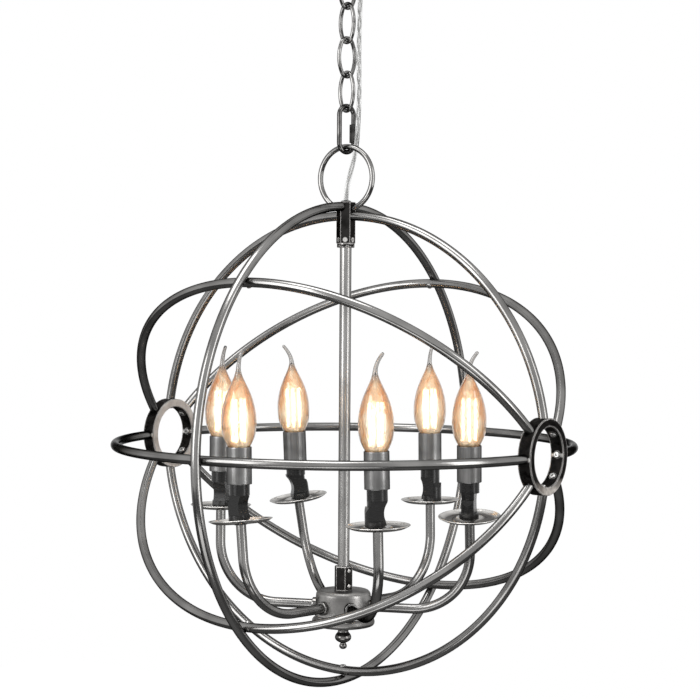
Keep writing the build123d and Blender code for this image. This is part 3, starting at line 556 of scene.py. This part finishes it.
# Couplings: hexagonal gunmetal bars that carry the stem. The upper one stands where the bars
# cross and has six set screws; the lower one sits on the arm body with two round-head screws.

# Edge highlight: a painted highlight, the corners of a dark finish painted pale where light would catch them
edge_highlight, given, result = node_group(
    "edge_highlight", [("Width", "Float", 0.0006)], [("Mask", "Float")])
round_over = node(edge_highlight, "ShaderNodeBevel", {"Radius": given["Width"]}, samples=6)
here = node(edge_highlight, "ShaderNodeNewGeometry")
turned_by = node(edge_highlight, "ShaderNodeVectorMath", {
    0: round_over.outputs["Normal"], 1: here.outputs["Normal"]}, operation="DOT_PRODUCT")
edge_highlight.links.new(ranged(edge_highlight, turned_by.outputs["Value"], 0.99, 0.91), result.inputs["Mask"])

gunmetal, tree, out = shader_tree("gunmetal")
marks = placed(tree, brush_marks, {"Across": cross_marks(tree), "Density": 200.0})["Mask"]
age = placed(tree, tarnish, {
    "Clean": (0.030, 0.0285, 0.0275, 1), "Dark": (0.009, 0.0085, 0.008, 1), "Size": 110.0, "Amount": 0.8,
    "Grain": 5.0})
# Painted highlight: the coupling's corners are painted pale where light would catch them.
edge_glint = placed(tree, edge_highlight, {"Width": 0.0012})["Mask"]
surface(tree, out, {
    "Base Color": mixed(tree, edge_glint, age["Color"], (0.72, 0.70, 0.68, 1)), "Metallic": 1.0,
    "Roughness": ranged(tree, marks, 0.0, 1.0, 0.42, 0.24), "Specular Tint": (0.3, 0.3, 0.3, 1),
    "Normal": bumps(tree, marks, 0.15, BRUSH_DEPTH)})
dress(gunmetal, "top_coupling", "lower_coupling", "coupling_lock_nut")
bright_zinc = brushed_metal("bright_zinc", cross_marks, clean=(0.72, 0.71, 0.69, 1),
                            dark=(0.42, 0.41, 0.39, 1), smooth=0.14, rough=0.28, density=280.0, patch=200.0)
dress(bright_zinc, "coupling_screws")

# Stem: one straight length of drawn steel tube, brushed lengthwise and paler than the cage.
# It is pushed into both couplings, and their screws hold it. The cable runs down inside it.
STEM_STEPS = 3
STEM_BRUSH_R = 6.0
STEEL_DARK = (0.045, 0.044, 0.043, 1)


def lengthwise_marks(radius):
    """Across value of an upright tube: the angle round it, as a length on a radius in millimetres."""
    def across(tree):
        place = split(tree, own_place(tree))
        return calc(tree, "MULTIPLY", calc(tree, "ARCTAN2", place["Y"], place["X"]), radius * MM)
    return across


stem_steel = brushed_metal("stem_steel", lengthwise_marks(STEM_BRUSH_R), clean=(0.36, 0.354, 0.345, 1),
                           dark=STEEL_DARK, smooth=0.16, rough=0.30, amount=0.3, edge=0.02)
stem_low, stem_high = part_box("stem_tube")
stem_r = (stem_high.x - stem_low.x) / 2 / MM
stem_length = (stem_high.z - stem_low.z) / MM
stem_line = [(stem_r, stem_length * step / STEM_STEPS) for step in range(STEM_STEPS + 1)]
stem = piece("stem", lathe("stem", stem_line), stem_steel, "steel_bar",
             Matrix.Translation((0, 0, stem_low.z)))
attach(stem, "chandelier")
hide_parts("stem_tube")

# Cage: round steel bar rolled to one radius. Eight arcs run from hub to hub inside one full ring,
# which passes through the upper coupling. Brushed along the bar and lightly tarnished.
BAR_SIDES = 32
ARC_STEPS = 120
RING_STEPS = 260
END_SINK = 0.0012
ARC_TURNS = {
    "arc_bottom": 0, "arc_back_lower": 45, "arc_back": 90, "arc_back_upper": 135, "arc_front_upper": 225,
    "arc_front": 270, "arc_front_lower": 315}
STEEL_CLEAN = (0.28, 0.2755, 0.269, 1)
ring_low, ring_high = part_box("outer_ring")
_, hex_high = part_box("top_coupling")
BAR_R = (ring_high.x - ring_low.x) / 2
RING_R = (ring_high.y - ring_low.y) / 2 - BAR_R
HUB_R = (hub_high.z - hub_low.z) / 2
HUB_X = (hub_high.x + hub_low.x) / 2
ORB_R = sqrt(HUB_X**2 + HUB_R**2)


def bar_marks(tree):
    """Across value of the cage's bars: the distance from the centre of the orb."""
    offset = node(tree, "ShaderNodeVectorMath", {0: own_place(tree), 1: ORB_CENTRE}, operation="SUBTRACT")
    return length_of(tree, offset.outputs[0])


bar_steel = brushed_metal("bar_steel", bar_marks, clean=STEEL_CLEAN, dark=STEEL_DARK, smooth=0.10,
                          rough=0.22, amount=0.4, edge=0.02)


def bar_points(first, last, steps, turn):
    """Points of an arc about the orb's centre; angle 0 is straight down, before the turn about X."""
    points = []
    for step in range(steps + 1):
        a = first + (last - first) * step / steps
        offset = Vector((ORB_R * sin(a), ORB_R * cos(a) * sin(turn), -ORB_R * cos(a) * cos(turn)))
        points.append(offset + ORB_CENTRE)
    return points


def bar(name, cad_node, points):
    """One bent bar in place of its node."""
    made = piece(name, tube(name, points, BAR_R, BAR_SIDES), bar_steel, "steel_bar")
    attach(made, "chandelier")
    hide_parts(cad_node)


hub_angle = pi / 2 - asin((HUB_R - END_SINK) / ORB_R)
for name, turn in ARC_TURNS.items():
    bar(f"bar_{name}", name, bar_points(-hub_angle, hub_angle, ARC_STEPS, radians(turn)))
coupling_angle = asin((hex_high.x - END_SINK) / ORB_R)
bar("bar_arc_top_left", "arc_top", bar_points(-hub_angle, -coupling_angle, ARC_STEPS // 2, pi))
bar("bar_arc_top_right", "arc_top", bar_points(coupling_angle, hub_angle, ARC_STEPS // 2, pi))
gap_angle = asin((hex_high.y - END_SINK) / RING_R)
ring_points = []
for step in range(RING_STEPS + 1):
    a = gap_angle + (2 * pi - 2 * gap_angle) * step / RING_STEPS
    ring_points.append(ORB_CENTRE + RING_R * Vector((0, sin(a), cos(a))))
bar("bar_outer_ring", "outer_ring", ring_points)

# Hubs: short cast collars, blackened on the wall and the outer face. The inner face is bare satin metal
# painted pale and warm with the bulbs' light on it. The outer face is worn at its bottom. A pale band at
# mid-height on the wall is partly a ground weld and partly a painted highlight, and the edges are a painted
# highlight. Screws through the wall hold the bar ends, and like screws hold the crossings.
WORN_HEIGHT = 16 * MM
WELD_HALF = 2.0 * MM
FACE_FROM, FACE_TO = 0.55, 0.9
WALL_FROM, WALL_TO = 0.6, 0.3
# The mid-height band is partly a ground weld and partly a painted highlight; the pale edges are a painted
# highlight.
WELD_GLINT_BRIGHT = (0.85, 0.83, 0.80, 1)
EDGE_GLINT_BRIGHT = (0.80, 0.78, 0.76, 1)
hub_iron, tree, out = shader_tree("hub_iron")
facing = split(tree, node(tree, "ShaderNodeTexCoord").outputs["Normal"])["X"]
where = split(tree, own_place(tree))
outward = calc(tree, "MULTIPLY", facing, calc(tree, "SIGN", where["X"]))
bulb_lit_face = ranged(tree, outward, -FACE_FROM, -FACE_TO)
outer_face = ranged(tree, outward, FACE_FROM, FACE_TO)
on_wall = ranged(tree, calc(tree, "ABSOLUTE", facing), WALL_FROM, WALL_TO)
black = placed(tree, tarnish, {
    "Clean": (0.026, 0.0245, 0.0235, 1), "Dark": (0.007, 0.0066, 0.0062, 1), "Size": 160.0, "Amount": 1.0,
    "Grain": 6.0})
pale_metal = placed(tree, tarnish, {
    "Clean": (0.95, 0.89, 0.83, 1), "Dark": (0.52, 0.44, 0.38, 1), "Size": 90.0, "Amount": 0.7,
    "Grain": 6.0})["Color"]
# Painted light: the inner face takes the pale warm colour, standing for the bulbs' light on bare metal.
tone = mixed(tree, bulb_lit_face, black["Color"], pale_metal)
under = ranged(tree, where["Z"], hub_low.z + WORN_HEIGHT, hub_low.z + WORN_HEIGHT / 3)
spots = ranged(tree, black["Mask"], 0.0, 1.0, 0.85, 0.40)
worn = calc(tree, "MULTIPLY", calc(tree, "MULTIPLY", outer_face, under), spots)
tone = mixed(tree, worn, tone, pale_metal)
off_weld = calc(tree, "ABSOLUTE", calc(tree, "SUBTRACT", where["Z"], ORB_CENTRE.z))
ragged = calc(tree, "MULTIPLY_ADD", black["Mask"], WELD_HALF, off_weld)
# Painted highlight: a pale band across the wall at mid-height, partly a ground weld.
weld_glint = calc(tree, "MULTIPLY", ranged(tree, ragged, 1.6 * WELD_HALF, 0.8 * WELD_HALF), on_wall)
tone = mixed(tree, weld_glint, tone, WELD_GLINT_BRIGHT)
# Painted highlight: the hub's edges are painted pale.
tone = mixed(tree, placed(tree, edge_highlight, {"Width": 0.0020})["Mask"], tone, EDGE_GLINT_BRIGHT)
marks = placed(tree, brush_marks, {"Across": bar_marks(tree), "Density": 290.0, "Length": 30.0})["Mask"]
surface(tree, out, {
    "Base Color": tone, "Metallic": ranged(tree, bulb_lit_face, 0.0, 1.0, 1.0, 0.35),
    "Roughness": ranged(tree, marks, 0.0, 1.0, 0.46, 0.26), "Specular Tint": (0.4, 0.4, 0.4, 1),
    "Normal": bumps(tree, noise(tree, 650.0, 3.0), 1.0, 0.0010)})
dress(hub_iron, "hub_left", "hub_right")
screw_steel = brushed_metal("screw_steel", cross_marks, clean=(0.48, 0.475, 0.465, 1),
                            dark=(0.16, 0.156, 0.15, 1), smooth=0.14, rough=0.28, density=280.0, patch=200.0)
dress(screw_steel, "cage_screws")

# Arm body: a spun cup with a rounded shoulder, a flared cover with a rolled lip under it, and a
# turned ball finial that closes the stack on the centre pipe. Satin pewter, lathe marks round it.
BODY_OUTLINE = [
    (0, 27.0), (0, 27.0), (23.0, 27.0), (23.0, 27.0), (25.6, 26.4), (27.5, 24.6), (28.3, 22.2), (28.9, 14.0),
    (29.6, 4.0), (29.8, 1.2), (29.4, 0.0), (29.4, 0.0), (26.5, 0.0)]
COVER_OUTLINE = [
    (4.1, 0.0), (4.1, 0.0), (28.2, 0.0), (28.2, 0.0), (31.0, 0.9), (32.3, 2.7), (32.5, 4.6), (32.0, 6.8),
    (30.6, 8.4), (29.4, 9.2), (29.2, 10.3)]
FINIAL_OUTLINE = [
    (0, 0.0), (2.2, 0.4), (3.6, 1.8), (4.0, 3.5), (3.5, 5.0), (2.9, 6.2), (3.2, 6.9), (4.8, 7.6), (6.8, 8.9),
    (8.1, 10.6), (8.5, 12.6), (7.9, 14.8), (6.8, 16.5), (5.7, 17.8), (5.5, 19.4), (5.7, 21.8), (5.8, 23.5),
    (5.5, 24.7)]
pewter = brushed_metal("pewter", turned_marks, clean=(0.34, 0.333, 0.324, 1),
                       dark=(0.10, 0.097, 0.094, 1), smooth=0.24, rough=0.38, density=290.0, patch=45.0,
                       amount=0.7, edge=0.3)
finial_nickel = brushed_metal("finial_nickel", turned_marks, clean=(0.22, 0.213, 0.206, 1),
                              dark=(0.03, 0.029, 0.028, 1), smooth=0.08, rough=0.16, density=290.0,
                              patch=140.0, edge=0.05)
for name, outline, finish, slot, cad_node in (
        ("arm_cup", BODY_OUTLINE, pewter, "pewter", "arm_body"),
        ("cup_cover", COVER_OUTLINE, pewter, "pewter", "body_cover"),
        ("ball_finial", FINIAL_OUTLINE, finial_nickel, "finial_metal", "finial")):
    base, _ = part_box(cad_node)
    made = piece(name, lathe(name, through(outline)), finish, slot, Matrix.Translation((0, 0, base.z)))
    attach(made, "chandelier")
    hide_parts(cad_node)
dress(bright_zinc, "centre_pipe", "arm_nuts")

white_nylon, tree, out = shader_tree("white_nylon")
haze = noise(tree, 300.0, 4.0)
surface(tree, out, {
    "Base Color": mixed(tree, haze, (0.74, 0.73, 0.70, 1), (0.82, 0.82, 0.80, 1)), "Roughness": 0.5,
    "Normal": bumps(tree, haze, 0.1, 0.0002)})
dress(white_nylon, "terminal_block")
dress(clear_plastic, "inner_wiring")

# Arms: six bent steel tubes, each screwed into the cup through a collar and carrying a seat for
# its pan. They lean a little, as hand-bent arms do, so each has its own small twist.
ARM_START = 19.6
ARM_TWISTS = (7.0, -1.0, -9.0, 1.0, 6.0, 1.5)
ARM_STEP = 360 / len(ARM_TWISTS)
ARM_DROP = 16.5 * MM
ARM_OUT = 134.4
ARM_BEND = 62.0
ARM_RISE = 98.0
ARM_R = 5.0
ARM_INNER = 26.0
ELBOW_STEPS = 40
COLLAR_OUT = 27.8
COLLAR_OUTLINE = [
    (5.0, 0.0), (5.0, 0.0), (6.4, 0.0), (7.0, 0.6), (7.0, 4.2), (6.4, 5.0), (6.4, 5.0), (5.0, 5.2)]
SEAT_OUTLINE = [
    (5.0, -3.4), (5.0, -3.4), (6.2, -3.2), (7.0, -2.4), (7.0, -0.1), (7.0, -0.1), (5.0, -0.1)]
COLLAR_SIDES = 48


def arm_marks(tree):
    """Across value of a bent arm in its own axes: the distance from the bend's centre."""
    place = split(tree, own_place(tree))
    past = calc(tree, "SUBTRACT", place["X"], (ARM_OUT - ARM_BEND) * MM)
    over = calc(tree, "SUBTRACT", place["Z"], ARM_BEND * MM)
    offset = node(tree, "ShaderNodeCombineXYZ", {
        "X": calc(tree, "MAXIMUM", past, 0.0), "Z": calc(tree, "MINIMUM", over, 0.0)})
    return length_of(tree, offset.outputs[0])


arm_steel = brushed_metal("arm_steel", arm_marks, clean=STEEL_CLEAN, dark=STEEL_DARK, smooth=0.10,
                          rough=0.22, amount=0.4, edge=0.02)
arm_line = [Vector((ARM_INNER, 0, 0)), Vector(((ARM_INNER + ARM_OUT - ARM_BEND) / 2, 0, 0))]
for step in range(ELBOW_STEPS + 1):
    a = pi / 2 * step / ELBOW_STEPS
    arm_line.append(Vector((ARM_OUT - ARM_BEND + ARM_BEND * sin(a), 0, ARM_BEND * (1 - cos(a)))))
arm_line.append(Vector((ARM_OUT, 0, ARM_RISE)))
arm_tube = tube("arm", [point * MM for point in arm_line], ARM_R * MM, BAR_SIDES)
collar = lathe("collar", through(COLLAR_OUTLINE), sides=COLLAR_SIDES)
collar.transform(Matrix.Translation((COLLAR_OUT * MM, 0, 0)) @ Matrix.Rotation(pi / 2, 4, "Y"))
seat = lathe("seat", through(SEAT_OUTLINE), sides=COLLAR_SIDES)
seat.transform(Matrix.Translation((ARM_OUT * MM, 0, ARM_RISE * MM)))
arm_mesh = joined("arm", arm_tube, collar, seat)
_, body_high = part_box("arm_body")
arm_places = []
for count, twist in enumerate(ARM_TWISTS):
    root = Matrix.Translation((0, 0, body_high.z - ARM_DROP))
    turn = Matrix.Rotation(radians(ARM_START + ARM_STEP * count), 4, "Z")
    arm_places.append(root @ (turn @ Matrix.Rotation(radians(twist), 4, "X")))
    made = piece(f"candle_arm_{count + 1}", arm_mesh, arm_steel, "steel_bar", arm_places[-1])
    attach(made, "chandelier")
    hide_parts(f"arm_{count + 1}")

# Drip pans: spun dishes of polished steel with a channel round a raised seat and a rolled rim.
# Each is clamped between its arm's seat and the lampholder, and the channel is coloured darker than the seat
# and rim.
PAN_OUTLINE = [
    (5.05, 0.05), (12.3, 0.05), (13.6, -0.2), (15.2, -0.9), (17.0, -1.7), (18.6, -1.95), (22.0, -1.9),
    (25.6, -1.4), (28.6, -0.2), (30.6, 0.9), (31.5, 1.4), (31.75, 1.8), (31.5, 2.2), (30.8, 2.35),
    (29.8, 1.9), (28.0, 0.7), (25.4, -0.5), (22.0, -1.0), (18.8, -1.05), (17.2, -0.8), (15.6, 0.1),
    (14.0, 0.8), (12.6, 1.0), (5.05, 1.0)]
PAN_STEPS = 4
CHANNEL_INNER = 12.5 * MM
CHANNEL_OUTER = 29.0 * MM
CHANNEL_BLUR = 3.0 * MM
STAIN_SIZE = 60.0
pan_silver, tree, out = shader_tree("pan_silver")
radius = from_axis(tree, split(tree, own_place(tree)))
past_seat = ranged(tree, radius, CHANNEL_INNER, CHANNEL_INNER + CHANNEL_BLUR)
before_rim = ranged(tree, radius, CHANNEL_OUTER, CHANNEL_OUTER - 2 * CHANNEL_BLUR)
channel = calc(tree, "MULTIPLY", past_seat, before_rim)
pale_metal = placed(tree, tarnish, {
    "Clean": (0.74, 0.725, 0.70, 1), "Dark": (0.40, 0.385, 0.37, 1), "Size": STAIN_SIZE})["Color"]
# The channel is coloured darker than the seat and the rim.
channel_dark = placed(tree, tarnish, {
    "Clean": (0.19, 0.181, 0.172, 1), "Dark": (0.06, 0.056, 0.053, 1), "Size": STAIN_SIZE})["Color"]
marks = placed(tree, brush_marks, {"Across": turned_marks(tree), "Density": 330.0})["Mask"]
surface(tree, out, {
    "Base Color": mixed(tree, channel, pale_metal, channel_dark), "Metallic": 1.0,
    "Roughness": ranged(tree, marks, *BRUSH_BAND, 0.24, 0.14), "Specular Tint": (0.5, 0.5, 0.5, 1)})
pan_mesh = lathe("pan", through(PAN_OUTLINE, PAN_STEPS), closed=True)
candle_places = []
for count, place in enumerate(arm_places):
    candle_places.append(place @ Matrix.Translation(Vector((ARM_OUT, 0, ARM_RISE)) * MM))
    made = piece(f"drip_pan_{count + 1}", pan_mesh, pan_silver, "bright_steel", candle_places[-1])
    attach(made, "chandelier")
    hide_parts("drip_pans")

# Lampholders: moulded black plastic, with a foot set back on the pan, a hooked neck and the socket
# in the sleeve. The necks are bent by hand, so that the candles stand straighter than the arms.
CANDLE_LEANS = (-4.0, 0.0, 6.5, 0.0, -4.8, 0.0)
LEAN_HEIGHT = 17.2 * MM
pivot = Matrix.Translation((0, 0, LEAN_HEIGHT))
head_places = [place @ pivot @ Matrix.Rotation(radians(lean), 4, "X") @ pivot.inverted()
               for place, lean in zip(candle_places, CANDLE_LEANS)]
brass_shell = brushed_metal("brass_shell", turned_marks, clean=(0.72, 0.55, 0.27, 1),
                            dark=(0.40, 0.28, 0.12, 1), smooth=0.22, rough=0.36)
dress(moulded_black, "lampholders")
dress(brass_shell, "socket_shells")

# Candle sleeves: thin steel tubes with turned-in edges, satin grey, pushed over the sockets.
# Drawn lengthwise, so the light lies on them in upright bands.
SLEEVE_R = 12.5
SLEEVE_OUTLINE = [
    (11.6, 37.4), (11.9, 37.05), (12.35, 37.1), (SLEEVE_R, 37.5), (SLEEVE_R, 38.4), (SLEEVE_R, 55.0),
    (SLEEVE_R, 72.4), (SLEEVE_R, 73.4), (12.3, 73.9), (11.95, 73.95), (11.65, 73.5), (11.6, 55.0)]
sleeve_grey = brushed_metal("sleeve_grey", lengthwise_marks(SLEEVE_R), clean=(0.23, 0.228, 0.225, 1),
                            dark=(0.10, 0.099, 0.0975, 1), smooth=0.28, rough=0.40, density=70.0, patch=60.0,
                            edge=0.1)
sleeve_mesh = lathe("sleeve", SLEEVE_OUTLINE, closed=True)
for count, place in enumerate(head_places):
    made = piece(f"sleeve_{count + 1}", sleeve_mesh, sleeve_grey, "pewter", place)
    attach(made, "chandelier")
    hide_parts("candle_sleeves")

# Bulbs: flame-shaped amber glass with a bent clear tail, a screw cap, a glass stem and four glowing
# filament sticks. Each screws into its socket, with its tail pointing its own way.
TIP_TURNS = (34.0, 100.0, 214.0, -30.0, 104.0, 54.0)
GLASS_OUTLINE = [
    (8.1, 66.5), (9.4, 69.6), (11.1, 74.2), (13.6, 79.0), (15.9, 84.6), (17.2, 92.0), (17.5, 99.2),
    (17.1, 106.5), (16.0, 113.2), (14.0, 121.0), (11.2, 128.5), (8.4, 134.6), (5.9, 139.8), (4.1, 144.0),
    (2.8, 148.5)]
GLASS_STEPS = 3
GLASS_WALL = 0.8
GLASS_SIDES = 64
HOLLOW_R = 2.2
HOLLOW_TIP = 3.0
TAIL_RISE = 19.0
TAIL_LEAN = 8.0
TAIL_R = 1.74
TAIL_STEPS = 14
TIP_SHARES = (0.5, 0.87)
CAP_OUTLINE = [(0, 43.4), (2.5, 43.4), (2.8, 44.4), (4.3, 45.2), (6.4, 46.8)]
CAP_THREAD = [
    (6.9, 48.2), (6.9, 49.0), (6.35, 49.6), (6.9, 50.5), (6.9, 51.3), (6.35, 51.9), (6.9, 52.8), (6.9, 53.6),
    (6.35, 54.2), (6.9, 55.1), (6.9, 55.9), (6.35, 56.5), (6.9, 57.4), (6.9, 58.2), (6.35, 58.8)]
CAP_COLLAR = [(6.9, 62.9), (6.9, 64.9), (8.1, 65.5), (8.1, 66.4), (3.2, 66.6)]
CAP_SIDES = 48
LAMP_STEM_OUTLINE = [(3.1, 66.6), (2.6, 72.0), (2.2, 80.0), (1.9, 84.0), (0, 85.2)]
LAMP_STEM_SIDES = 32
FILAMENTS = 4
FILAMENT_R = 6.3
FILAMENT_LOW = 79.0
FILAMENT_HIGH = 121.0
FILAMENT_THICK = 0.9
FILAMENT_SIDES = 16

glass_line = through(GLASS_OUTLINE, GLASS_STEPS)
inner_line = [(r, z) for r, z in inset(glass_line, GLASS_WALL) if r > HOLLOW_R]
glass_rings = [circle(0, inner_line[-1][1] + HOLLOW_TIP)]
glass_rings += [circle(r, z, GLASS_SIDES) for r, z in reversed(inner_line)]
glass_rings += [circle(r, z, GLASS_SIDES) for r, z in glass_line]
neck_r, tail_low = glass_line[-1]
for step in range(1, TAIL_STEPS + 1):
    t = step / TAIL_STEPS
    tilt = Matrix.Rotation(atan2(2 * TAIL_LEAN * t, TAIL_RISE), 3, "Y")
    middle = Vector((TAIL_LEAN * t * t, 0, tail_low + TAIL_RISE * t)) * MM
    tail_ring = circle(neck_r + (TAIL_R - neck_r) * sqrt(t), 0, GLASS_SIDES)
    glass_rings.append([tilt @ point + middle for point in tail_ring])
tip_way = tilt @ Vector((0, 0, 1))
for share in TIP_SHARES:
    shrink = sqrt(1 - share * share)
    glass_rings.append([tilt @ (shrink * point) + middle + share * TAIL_R * MM * tip_way
                        for point in circle(TAIL_R, 0, GLASS_SIDES)])
glass_rings.append([middle + TAIL_R * MM * tip_way])
glass_mesh = skin_over("bulb_glass", glass_rings)

# The amber is painted paler low down, a painted glow of the sticks, and deeper towards the tip; it runs in
# upright streaks, and the tail is clear. Seen edge on, the light goes a longer way through the wall, which
# is then darker.
AMBER_THIN = (1.0, 0.91, 0.77, 1)
AMBER_THICK = (0.88, 0.46, 0.18, 1)
AMBER_RIM = (0.40, 0.21, 0.10, 1)
TAIL_CLEAR = (0.44, 0.42, 0.40, 1)
TAIL_EDGE = (0.05, 0.046, 0.042, 1)
STREAK_STRETCH = (1.0, 1.0, 0.45)
STREAK_BAND = (0.3, 0.7)
STREAK_STAIN = 0.50
GLOW_FADE_FROM, GLOW_FADE_TO = 0.075, 0.135
CLEAR_FROM, AMBER_TO = 0.150, 0.138
amber_glass, tree, out = shader_tree("amber_glass")
height = split(tree, own_place(tree))["Z"]
stretched = node(tree, "ShaderNodeVectorMath", {0: own_place(tree), 1: STREAK_STRETCH},
                 operation="MULTIPLY")
streaks = node(tree, "ShaderNodeTexNoise", {
    "Vector": stretched.outputs[0], "Scale": 130.0, "Detail": 3.0, "Distortion": 0.8}).outputs["Fac"]
edge_on = node(tree, "ShaderNodeLayerWeight", {"Blend": 0.5}).outputs["Facing"]
depth = ranged(tree, edge_on, 0.05, 0.55)
uneven = ranged(tree, streaks, *STREAK_BAND, -STREAK_STAIN, STREAK_STAIN)
# Painted glow: the amber is paler low down, where the sticks light the glass, and deeper towards the tip.
low_glow_and_tip_amber = ranged(tree, height, GLOW_FADE_FROM, GLOW_FADE_TO, -0.28, 0.25)
stain = calc(tree, "ADD", depth, calc(tree, "ADD", uneven, low_glow_and_tip_amber), clamp=True)
amber = mixed(tree, stain, AMBER_THIN, AMBER_THICK)
amber = mixed(tree, ranged(tree, edge_on, 0.62, 0.95), amber, AMBER_RIM)
flame = ranged(tree, height, CLEAR_FROM, AMBER_TO)
surface(tree, out, {
    "Base Color": mixed(tree, flame, mixed(tree, depth, TAIL_CLEAR, TAIL_EDGE), amber),
    "Roughness": ranged(tree, flame, 0.0, 1.0, 0.10, 0.25), "IOR": 1.45, "Transmission Weight": 1.0,
    "Coat Weight": 1.0, "Coat Roughness": 0.03, "Normal": bumps(tree, streaks, 0.5, 0.002)})

cap_nickel = brushed_metal("cap_nickel", turned_marks, clean=(0.66, 0.62, 0.54, 1),
                           dark=(0.36, 0.32, 0.26, 1), smooth=0.2, rough=0.34)
clear_glass, tree, out = shader_tree("clear_glass")
surface(tree, out, {
    "Base Color": mixed(tree, noise(tree, 200.0), (0.96, 0.95, 0.93, 1), (1.0, 0.99, 0.98, 1)),
    "Roughness": 0.05, "Transmission Weight": 1.0})
filament_glow, tree, out = shader_tree("filament_glow")
chips = node(tree, "ShaderNodeTexWave", {"Scale": 300.0, "Distortion": 0.5}, bands_direction="Z")
heat = mixed(tree, chips.outputs["Fac"], (1.0, 0.80, 0.56, 1), (1.0, 0.88, 0.70, 1))
surface(tree, out, {
    "Base Color": heat, "Roughness": 0.5, "Emission Color": heat, "Emission Strength": 4.5})
# The glass stands between the sticks and everything else, so no lamp rays are spent on them
filament_glow.cycles.emission_sampling = "NONE"

cap_mesh = lathe("cap", CAP_OUTLINE + CAP_THREAD + CAP_COLLAR, sides=CAP_SIDES)
lamp_stem_mesh = lathe("lamp_stem", through(LAMP_STEM_OUTLINE), sides=LAMP_STEM_SIDES)
sticks = []
for count in range(FILAMENTS):
    foot = Matrix.Rotation(2 * pi / FILAMENTS * count, 3, "Z") @ Vector((FILAMENT_R, 0, 0))
    heights = (FILAMENT_LOW, (FILAMENT_LOW + FILAMENT_HIGH) / 2, FILAMENT_HIGH)
    stick = [(foot + Vector((0, 0, z))) * MM for z in heights]
    sticks.append(tube("stick", stick, FILAMENT_THICK * MM, FILAMENT_SIDES))
stick_mesh = joined("filaments", *sticks)
for count, place in enumerate(head_places):
    turn = Matrix.Rotation(radians(TIP_TURNS[count] - ARM_START - ARM_STEP * count), 4, "Z")
    for name, data, finish, slot, cad_node in (
            ("flame_glass", glass_mesh, amber_glass, "amber_glass", "bulb_glass"),
            ("lamp_cap", cap_mesh, cap_nickel, "bulb_cap", "bulb_base"),
            ("lamp_stem", lamp_stem_mesh, clear_glass, "amber_glass", "bulb_base"),
            ("filaments", stick_mesh, filament_glow, "amber_glass", "bulb_base")):
        made = piece(f"{name}_{count + 1}", data, finish, slot, place @ turn)
        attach(made, f"bulb_{count + 1}")
        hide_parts(f"{cad_node}_{count + 1}")
